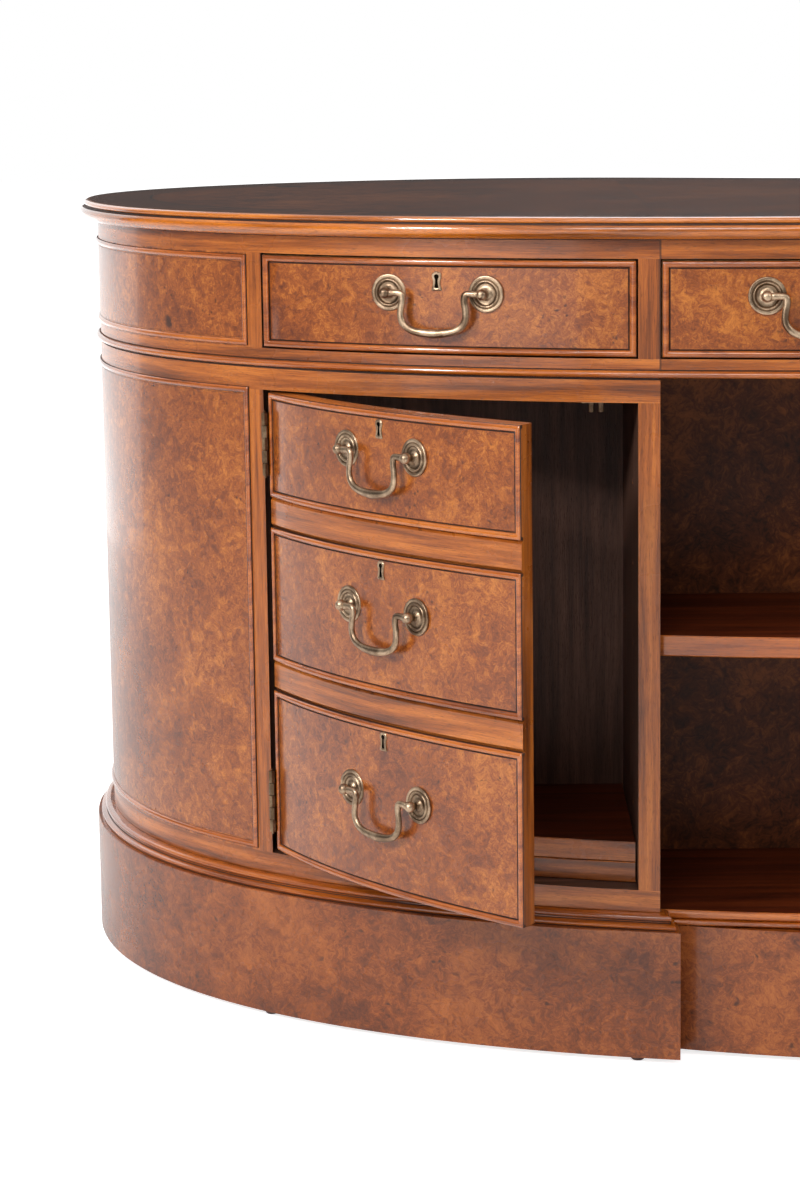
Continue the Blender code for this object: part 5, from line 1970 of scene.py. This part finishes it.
@dataclass
class Handles:
    """Swan-neck handles: a post, a bail and a keyhole plate, modelled once and copied to every bail's joint.

    The bail's line gives x from one ball, z and the thickness of the wire. The outlines are the right halves
    of the keyhole's plate and hole.
    """

    half_width: float = 0.048
    stand: float = 0.0105
    ball: float = 0.0051
    rose: float = 0.017
    rose_height: float = 0.0018
    rose_seat: float = 0.0015
    post_turns: int = 36
    post_crease: float = 36.0
    aged_rings: tuple = ((0.755, 0.81), (0.55, 0.62))
    neck_share: float = 0.26
    neck_span: tuple[float, float] = (1.5, 3.2)
    bail_radius: float = 0.0037
    bail_flatness: float = 0.75
    bail_bow: float = -0.0007
    bail_crease: float = 50.0
    plate_crease: float = 40.0
    plate_levels: tuple = (-0.0012, 0.0004, 0.0009, 0.0013)
    # The keyhole's hole is a shallow face, painted near black as shade; these limits pick it out.
    hole_half_size: tuple[float, float] = (0.0024, 0.0066)
    hole_level: float = 0.0008
    keyhole_rises: tuple[float, float, float, float] = (0.0110, 0.0216, 0.0368, 0.0510)
    plate_outline: tuple = (
        (0.0, 0.0089), (0.0023, 0.0085), (0.0041, 0.0073), (0.0049, 0.0054), (0.0047, 0.0033),
        (0.0040, 0.0012), (0.0037, -0.0010), (0.0039, -0.0036), (0.0046, -0.0062), (0.0051, -0.0079),
        (0.0042, -0.0088), (0.0, -0.0089),
    )
    hole_outline: tuple = (
        (0.0, 0.0063), (0.0012, 0.0060), (0.0021, 0.0051), (0.0023, 0.0040), (0.0019, 0.0028),
        (0.0012, 0.0020), (0.0011, 0.0004), (0.0013, -0.0020), (0.0018, -0.0046), (0.0019, -0.0057),
        (0.0013, -0.0062), (0.0, -0.0063),
    )
    bail_line: tuple = (
        (0.0035, 0.0, 0.72), (0.0055, 0.0, 1.02), (0.0080, 0.0002, 0.86), (0.0125, 0.0004, 0.80),
        (0.0158, 0.0000, 0.86), (0.0175, -0.0022, 0.88), (0.0175, -0.0075, 0.86), (0.0162, -0.0130, 0.86),
        (0.0156, -0.0200, 0.88), (0.0172, -0.0262, 0.90), (0.0218, -0.0312, 0.90), (0.0290, -0.0343, 0.92),
        (0.0388, -0.0357, 1.03), (0.0480, -0.0363, 1.16),
    )

    def post(self, palette: Palette) -> bpy.types.Object:
        """Turns a post and its rose about -Y.

        Args:
            palette: The materials.

        Returns:
            The post, its rose's back at y = 0.
        """
        r, h, s, b = self.rose, self.rose_height, self.stand, self.ball
        runs = (
            ((0.0, -self.rose_seat), (r * 0.985, -self.rose_seat)),
            ((r, 0.0), (r, h * 0.45), (r * 0.985, h * 0.8), (r * 0.96, h)),
            ((r * 0.90, h * 1.02), (r * 0.82, h * 0.90)),
            ((r * 0.80, h * 0.62), (r * 0.765, h * 0.62)),
            ((r * 0.75, h * 0.95), (r * 0.71, h * 1.42), (r * 0.66, h * 1.42), (r * 0.62, h * 1.0)),
            ((r * 0.58, h * 0.62), (r * 0.48, h * 0.50), (r * 0.38, h * 0.62), (r * 0.28, h * 1.15)),
            ((r * 0.235, h * 1.55), (r * 0.175, h * 2.2), (r * 0.165, h * 2.9)),
            ((b * 0.62, s - b * 0.80), (b * 0.82, s - b * 0.58), (b * 0.97, s - b * 0.26), (b, s),
             (b * 0.94, s + b * 0.36), (b * 0.76, s + b * 0.68), (b * 0.42, s + b * 0.93), (0.0, s + b)),
        )
        line = [point for run in runs for point in smooth_run(run, 3)]
        mesh = bpy.data.meshes.new("handle_post")
        mesh.from_pydata([(radius, -out, 0) for radius, out in line],
                         [(i, i + 1) for i in range(len(line) - 1)], [])
        obj = bpy.data.objects.new("handle_post", mesh)
        bpy.context.scene.collection.objects.link(obj)
        with editing(obj):
            bpy.ops.mesh.spin(steps=self.post_turns, angle=math.tau, center=(0, 0, 0), axis=(0, 1, 0))
        finished(settle(obj, self.post_crease), palette, "brass", "dull_brass")
        for polygon in obj.data.polygons:
            x, y, z = polygon.center
            radius, (start, end) = math.hypot(x, z) / r, self.neck_span
            aged = any(low < radius < high for low, high in self.aged_rings)
            aged = aged or (radius < self.neck_share and -y > start * h)
            polygon.material_index = int(aged and -y < end * h)
        return obj

    def bail(self) -> bpy.types.Object:
        """Returns the bail, hung in the XZ plane about the line through the balls."""
        points = [(x - self.half_width, z, size) for x, z, size in self.bail_line]
        points += [(-x, z, size) for x, z, size in reversed(points[:-1])]
        clear_selection()
        bpy.ops.curve.primitive_nurbs_path_add()
        curve = bpy.context.object.data
        curve.splines.clear()
        spline = curve.splines.new("NURBS")
        spline.points.add(len(points) - 1)
        for point, (x, z, size) in zip(spline.points, points):
            point.co = (x, self.bail_bow * min(z / self.bail_line[-1][1], 1.0) / self.bail_flatness, z, 1)
            point.radius = size
        spline.order_u = 3
        spline.use_endpoint_u = True
        curve.resolution_u = 5
        curve.bevel_depth = self.bail_radius
        curve.bevel_resolution = 5
        curve.use_fill_caps = True
        bpy.ops.object.convert(target="MESH")
        bpy.context.object.scale.y = self.bail_flatness
        return settle(placed_mesh("handle_bail"), self.bail_crease)

    def keyhole(self, palette: Palette) -> bpy.types.Object:
        """Makes a keyhole plate: a rounded brass rim round a keyhole, which is a shallow sunk face painted
        near black as shade.

        Args:
            palette: The materials.

        Returns:
            The plate.
        """
        outer, inner = (np.vstack([half, half[::-1] * (-1, 1)])
                        for half in map(np.array, (self.plate_outline, self.hole_outline)))
        seat, edge, slope, crown = self.plate_levels
        rows = [(outer, seat), (outer, edge), (0.93 * outer, slope), (0.35 * inner + 0.65 * outer, crown),
                (0.75 * inner + 0.25 * outer, crown), (inner, slope), (inner, edge)]
        obj, column, row = flat_grid("keyhole_plate", len(outer), len(rows))
        points = [(rows[r][0][c][0], -rows[r][1], rows[r][0][c][1]) for c, r in zip(column, row)]
        stored(obj, np.array(points))
        with editing(obj):
            bpy.ops.mesh.remove_doubles(threshold=DOUBLES)
        fill_openings(obj)
        finished(settle(obj, self.plate_crease), palette, "brass", "keyhole")
        wide, tall = self.hole_half_size
        for polygon in obj.data.polygons:
            x, y, z = polygon.center
            # The face that fills the hole gets the near-black painted shade.
            polygon.material_index = int(-self.hole_level < y < 0.0 and abs(x) < wide and abs(z) < tall)
        return obj

    def build(self, shop: Shop) -> None:
        """Copies the posts, the bail and the keyhole plate to every handle."""
        post, bail, keyhole = self.post(shop.palette), self.bail(), self.keyhole(shop.palette)
        finished(bail, shop.palette, "brass")
        for obj in (post, bail, keyhole):
            box_uv(obj, 0)
        for joint in frame["joints"]:
            if not joint["name"].endswith("_swing"):
                continue
            child, parent = joint["child"], joint["parent"]
            x_axis = -Vector(joint["axis"])
            y_axis = Vector((0, 0, 1)).cross(x_axis)
            turn = Matrix((x_axis, y_axis, Vector((0, 0, 1)))).transposed().to_4x4()
            place = Matrix.Translation(joint["pos_m"]) @ turn
            self.copied(bail, f"{child}_drop", place, child, [child])
            for number, step in enumerate((-1, 1), start=1):
                at = place @ Matrix.Translation((step * self.half_width, self.stand, 0))
                self.copied(post, f"{child}_post_{number}", at, parent)
            if not (child.startswith("centre") and child.endswith("2")):
                depth = self.stand - self.bulge(shop, joint)
                at = place @ Matrix.Translation((0, depth, self.keyhole_rise(child)))
                if child.startswith("centre"):
                    face = Face.BOOKCASE if at.translation.y < shop.kidney.shift else Face.SITTER
                    at = Matrix.Translation((0, 0, at.translation.z)) @ shop.kidney.place(face, 0.0)
                self.copied(keyhole, f"{child}_keyhole", at, parent)
        for obj in (post, bail, keyhole):
            bpy.data.objects.remove(obj)

    def bulge(self, shop: Shop, joint: dict) -> float:
        """Returns how far the face between two posts stands out of the line between their feet.

        Args:
            shop: What the handles are built from.
            joint: The joint of the handle's bail.

        Returns:
            The distance at the middle between the posts.
        """
        kidney = shop.kidney
        x, y = joint["pos_m"][:2]
        if joint["parent"].endswith("_door"):
            x = math.copysign((shop.sizes.jamb + shop.sizes.reach) / 2, x)
            y = kidney.shift - kidney.front_depth
        face = Face.BOOKCASE if y < kidney.shift else Face.SITTER
        arc = kidney.arc_at(face, x)
        if face is Face.SITTER:
            arc = math.copysign(kidney.length, arc) - arc
        xs, ys = kidney.along(arc + np.array([-self.half_width, 0, self.half_width]), np.zeros(3))
        middle = Vector((xs[1] - (xs[0] + xs[2]) / 2, ys[1] - (ys[0] + ys[2]) / 2, 0))
        return middle.dot(kidney.place(face, x).to_3x3() @ Vector((0, -1, 0)))

    def keyhole_rise(self, bail: str) -> float:
        """Returns how far above the line of the balls a front's keyhole is."""
        return self.keyhole_rises[0 if "frieze" in bail else int(bail.replace("_bail", "")[-1])]

    @staticmethod
    def copied(source: bpy.types.Object, name: str, place: Matrix, body: str,
               nodes: Sequence[str] = ()) -> None:
        """Puts a copy of a piece, with its own mesh, in place on a body.

        Args:
            source: The piece.
            name: The copy's name.
            place: Where the copy is.
            body: The CAD body that carries it.
            nodes: The CAD nodes that it replaces.
        """
        mesh = source.data.copy()
        mesh.name = name
        mesh.transform(place)
        obj = bpy.data.objects.new(name, mesh)
        bpy.context.scene.collection.objects.link(obj)
        dress(obj, body, nodes)


@dataclass
class Cupboard:
    """What is in a cupboard: two loose shelves and a catch. The hinges get their finish here too."""

    side: Side
    inset: float = 0.0258
    rounding: float = 0.0008
    divisions: int = 31
    grain_offset: float = 3.3
    grain_step: float = 7.1

    def build(self, shop: Shop) -> None:
        """Builds the loose shelves, and dresses the CAD's catch and hinges."""
        for node, obj in frame["nodes"].items():
            if not node.startswith(self.side.word):
                continue
            if "hinge" in node or "catch" in node:
                obj.data.materials.clear()
                finished(obj, shop.palette, "brass" if "catch" in node else "dull_brass")
            if "loose_shelf" in node:
                self.shelf(shop, node)

    def shelf(self, shop: Shop, node: str) -> None:
        """Builds one loose shelf, whose front edge follows the desk.

        Args:
            shop: What the shelf is built from.
            node: The shelf's CAD node.
        """
        (low, high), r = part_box(node), self.rounding
        rows = [(-r, low.z), (0.0, low.z + r), (0.0, high.z - r), (-r, high.z)]

        def front(x: np.ndarray, out: np.ndarray) -> np.ndarray:
            """Returns the y of points of the front edge."""
            return shop.kidney.depth(Face.BOOKCASE, x, out - self.inset)

        # Its flat faces get the near-black shelf finish: painted shade inside the cupboard.
        LevelBoard(f"{node}_board", node, np.linspace(low.x, high.x, self.divisions), rows, front, high.y,
                   ("shelf", "straight"), self.grain_offset + self.grain_step * low.z).build(shop.palette)


@dataclass(frozen=True)
class Lamp:
    """A soft, square lamp that points at a target."""

    name: str
    place: Triple
    target: Triple
    size: float
    power: float

    def hang(self) -> None:
        """Adds the lamp to the scene."""
        clear_selection()
        bpy.ops.object.light_add(type="AREA", location=self.place)
        lamp = bpy.context.object
        lamp.name = self.name
        lamp.data.size = self.size
        lamp.data.energy = self.power
        lamp.visible_camera = False
        direction = Vector(self.target) - Vector(self.place)
        lamp.rotation_euler = direction.to_track_quat("-Z", "Y").to_euler()


@dataclass
class Studio:
    """Floor, lights and camera."""

    camera_place: Triple = (-0.5218, -3.4001, 0.9254)
    yaw: float = -0.0190
    pitch: float = 0.1707
    roll: float = -0.0135
    lens: float = 96.16
    floor_size: float = 40.0
    floor_tone: float = 0.74
    floor_roughness: float = 0.9
    floor_glow: float = 0.8
    mirrored_glow: float = 0.20
    mirrored_span: tuple[float, float] = (3.0, 7.0)
    wall_light: float = 0.07
    ceiling_light: float = 0.75
    room_span: tuple[float, float] = (0.12, 0.75)
    lamps: tuple[Lamp, ...] = (
        Lamp("key", (-2.7, -2.2, 1.9), (-0.4, -0.1, 0.42), 0.45, 50.0),
        Lamp("left", (-2.2, 2.2, 1.0), (-0.7, 0.1, 0.45), 2.2, 16.0),
        Lamp("low", (-2.4, -2.6, 0.75), (-0.5, -0.2, 0.6), 1.4, 8.0),
        Lamp("front", (-1.3, -3.2, 2.7), (-0.1, -0.1, 0.35), 1.5, 38.0),
        Lamp("right", (2.6, -2.4, 2.4), (0.3, 0.0, 0.4), 1.8, 26.0),
        Lamp("behind", (0.8, 3.0, 3.0), (0.0, 0.3, 0.4), 3.2, 50.0),
    )

    def build(self, shop: Shop) -> None:
        """Builds the studio."""
        self.camera(shop.kidney.shift)
        self.floor()
        for lamp in self.lamps:
            lamp.hang()
        self.world()
        bpy.context.scene.view_settings.view_transform = "Standard"

    def camera(self, shift: float) -> None:
        """Places the camera where the photograph was taken from.

        Args:
            shift: The y of the desk's widest line.
        """
        level = math.cos(self.pitch)
        forward = Vector((math.sin(self.yaw) * level, math.cos(self.yaw) * level, -math.sin(self.pitch)))
        right = Vector((math.cos(self.yaw), -math.sin(self.yaw), 0))
        up = right.cross(forward)
        turned_right = right * math.cos(self.roll) + up * math.sin(self.roll)
        turned_up = -right * math.sin(self.roll) + up * math.cos(self.roll)
        data = bpy.data.cameras.new("view")
        data.lens = self.lens
        camera = bpy.data.objects.new("view", data)
        bpy.context.scene.collection.objects.link(camera)
        turn = Matrix((turned_right, turned_up, -forward)).transposed().to_4x4()
        x, y, z = self.camera_place
        camera.matrix_world = Matrix.Translation((x, y + shift, z)) @ turn
        bpy.context.scene.camera = camera

    @staticmethod
    def seen(net: Net) -> tuple[bpy.types.NodeSocket, bpy.types.NodeSocket]:
        """Returns masks of the rays from the camera or through glass, and of mirrored rays."""
        path = net.node("LightPath").outputs
        return net.math("MAXIMUM", path["Is Camera Ray"], path["Is Transmission Ray"]), path["Is Glossy Ray"]

    def floor(self) -> None:
        """Lays the pale floor. Camera rays see it white where no shadow falls."""
        clear_selection()
        bpy.ops.mesh.primitive_plane_add(size=self.floor_size, location=(0, 0, 0))
        floor = bpy.context.object
        floor.name = "floor"
        material, net, shader = new_material("pale_floor")
        shader.inputs["Base Color"].default_value = (self.floor_tone, self.floor_tone, self.floor_tone, 1)
        shader.inputs["Roughness"].default_value = self.floor_roughness
        shader.inputs["Emission Color"].default_value = (1, 1, 1, 1)
        seen, mirrored = self.seen(net)
        far = net.node("VectorMath", {"Vector": net.node("TexCoord").outputs["Object"]}, operation="LENGTH")
        near = net.span(far.outputs["Value"], *self.mirrored_span, 1.0, 0.0)
        glow = net.math("ADD", net.math("MULTIPLY", seen, self.floor_glow),
                        net.math("MULTIPLY", net.math("MULTIPLY", mirrored, near), self.mirrored_glow))
        net.put(shader.inputs["Emission Strength"], glow)
        floor.data.materials.append(material)
        floor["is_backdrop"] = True

    def world(self) -> None:
        """Makes the background white to the camera, and a room with dim walls and a pale ceiling round it."""
        world = bpy.context.scene.world or bpy.data.worlds.new("studio")
        bpy.context.scene.world = world
        world.use_nodes = True
        net, background = Net(world.node_tree), world.node_tree.nodes["Background"]
        background.inputs["Color"].default_value = (1, 1, 1, 1)
        up = net.node("SeparateXYZ", {"Vector": net.node("TexCoord").outputs["Generated"]}).outputs["Z"]
        room = net.span(up, *self.room_span, self.wall_light, self.ceiling_light)
        net.put(background.inputs["Strength"], net.math("MAXIMUM", room, self.seen(net)[0]))


def write_sizes() -> None:
    """Gathers the CAD's box and the visual model's box, and does nothing with them."""
    boxes = [[[float(c) for c in corner] for corner in box] for box in (CAD_BOX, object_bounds())]
    {"cad": boxes[0], "visual": boxes[1]}


def main() -> None:
    """Builds the desk and its studio."""
    logging.basicConfig(level=logging.INFO, format="%(message)s")
    sizes, frieze, bookcase = Sizes(), Frieze(), Bookcase()
    kidney = Kidney(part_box("bookcase_back")[0].y + bookcase.back_depth, sizes.half_width)
    shop = Shop(kidney, sizes, Palette())
    Studio().build(shop)
    Top().build(shop)
    frieze.build(shop)
    bookcase.build(shop)
    for number, (name, face, near, far) in enumerate(frieze.openings(sizes)):
        offset = frieze.drawer_step * number + frieze.drawer_offset
        Drawer(name, face, near, far, *frieze.levels(sizes), frieze.pocket(face), offset).build(shop)
    for side, opening in ((Side.LEFT, 27.8), (Side.RIGHT, 0.0)):
        pedestal = Pedestal(side)
        pedestal.build(shop)
        Plinth(pedestal).build(shop)
        for number, levels in enumerate(pedestal.levels(sizes), start=1):
            Drawer(f"{side.word}_pedestal_drawer_{number}", Face.SITTER, *sizes.opening(side), *levels,
                   -pedestal.pocket_depth, side.value * (pedestal.drawer_offset + number)).build(shop)
        Door(side, opening).build(shop)
        Cupboard(side).build(shop)
    Handles().build(shop)
    clear_selection()
    write_sizes()


if __name__ == "__main__":
    main()
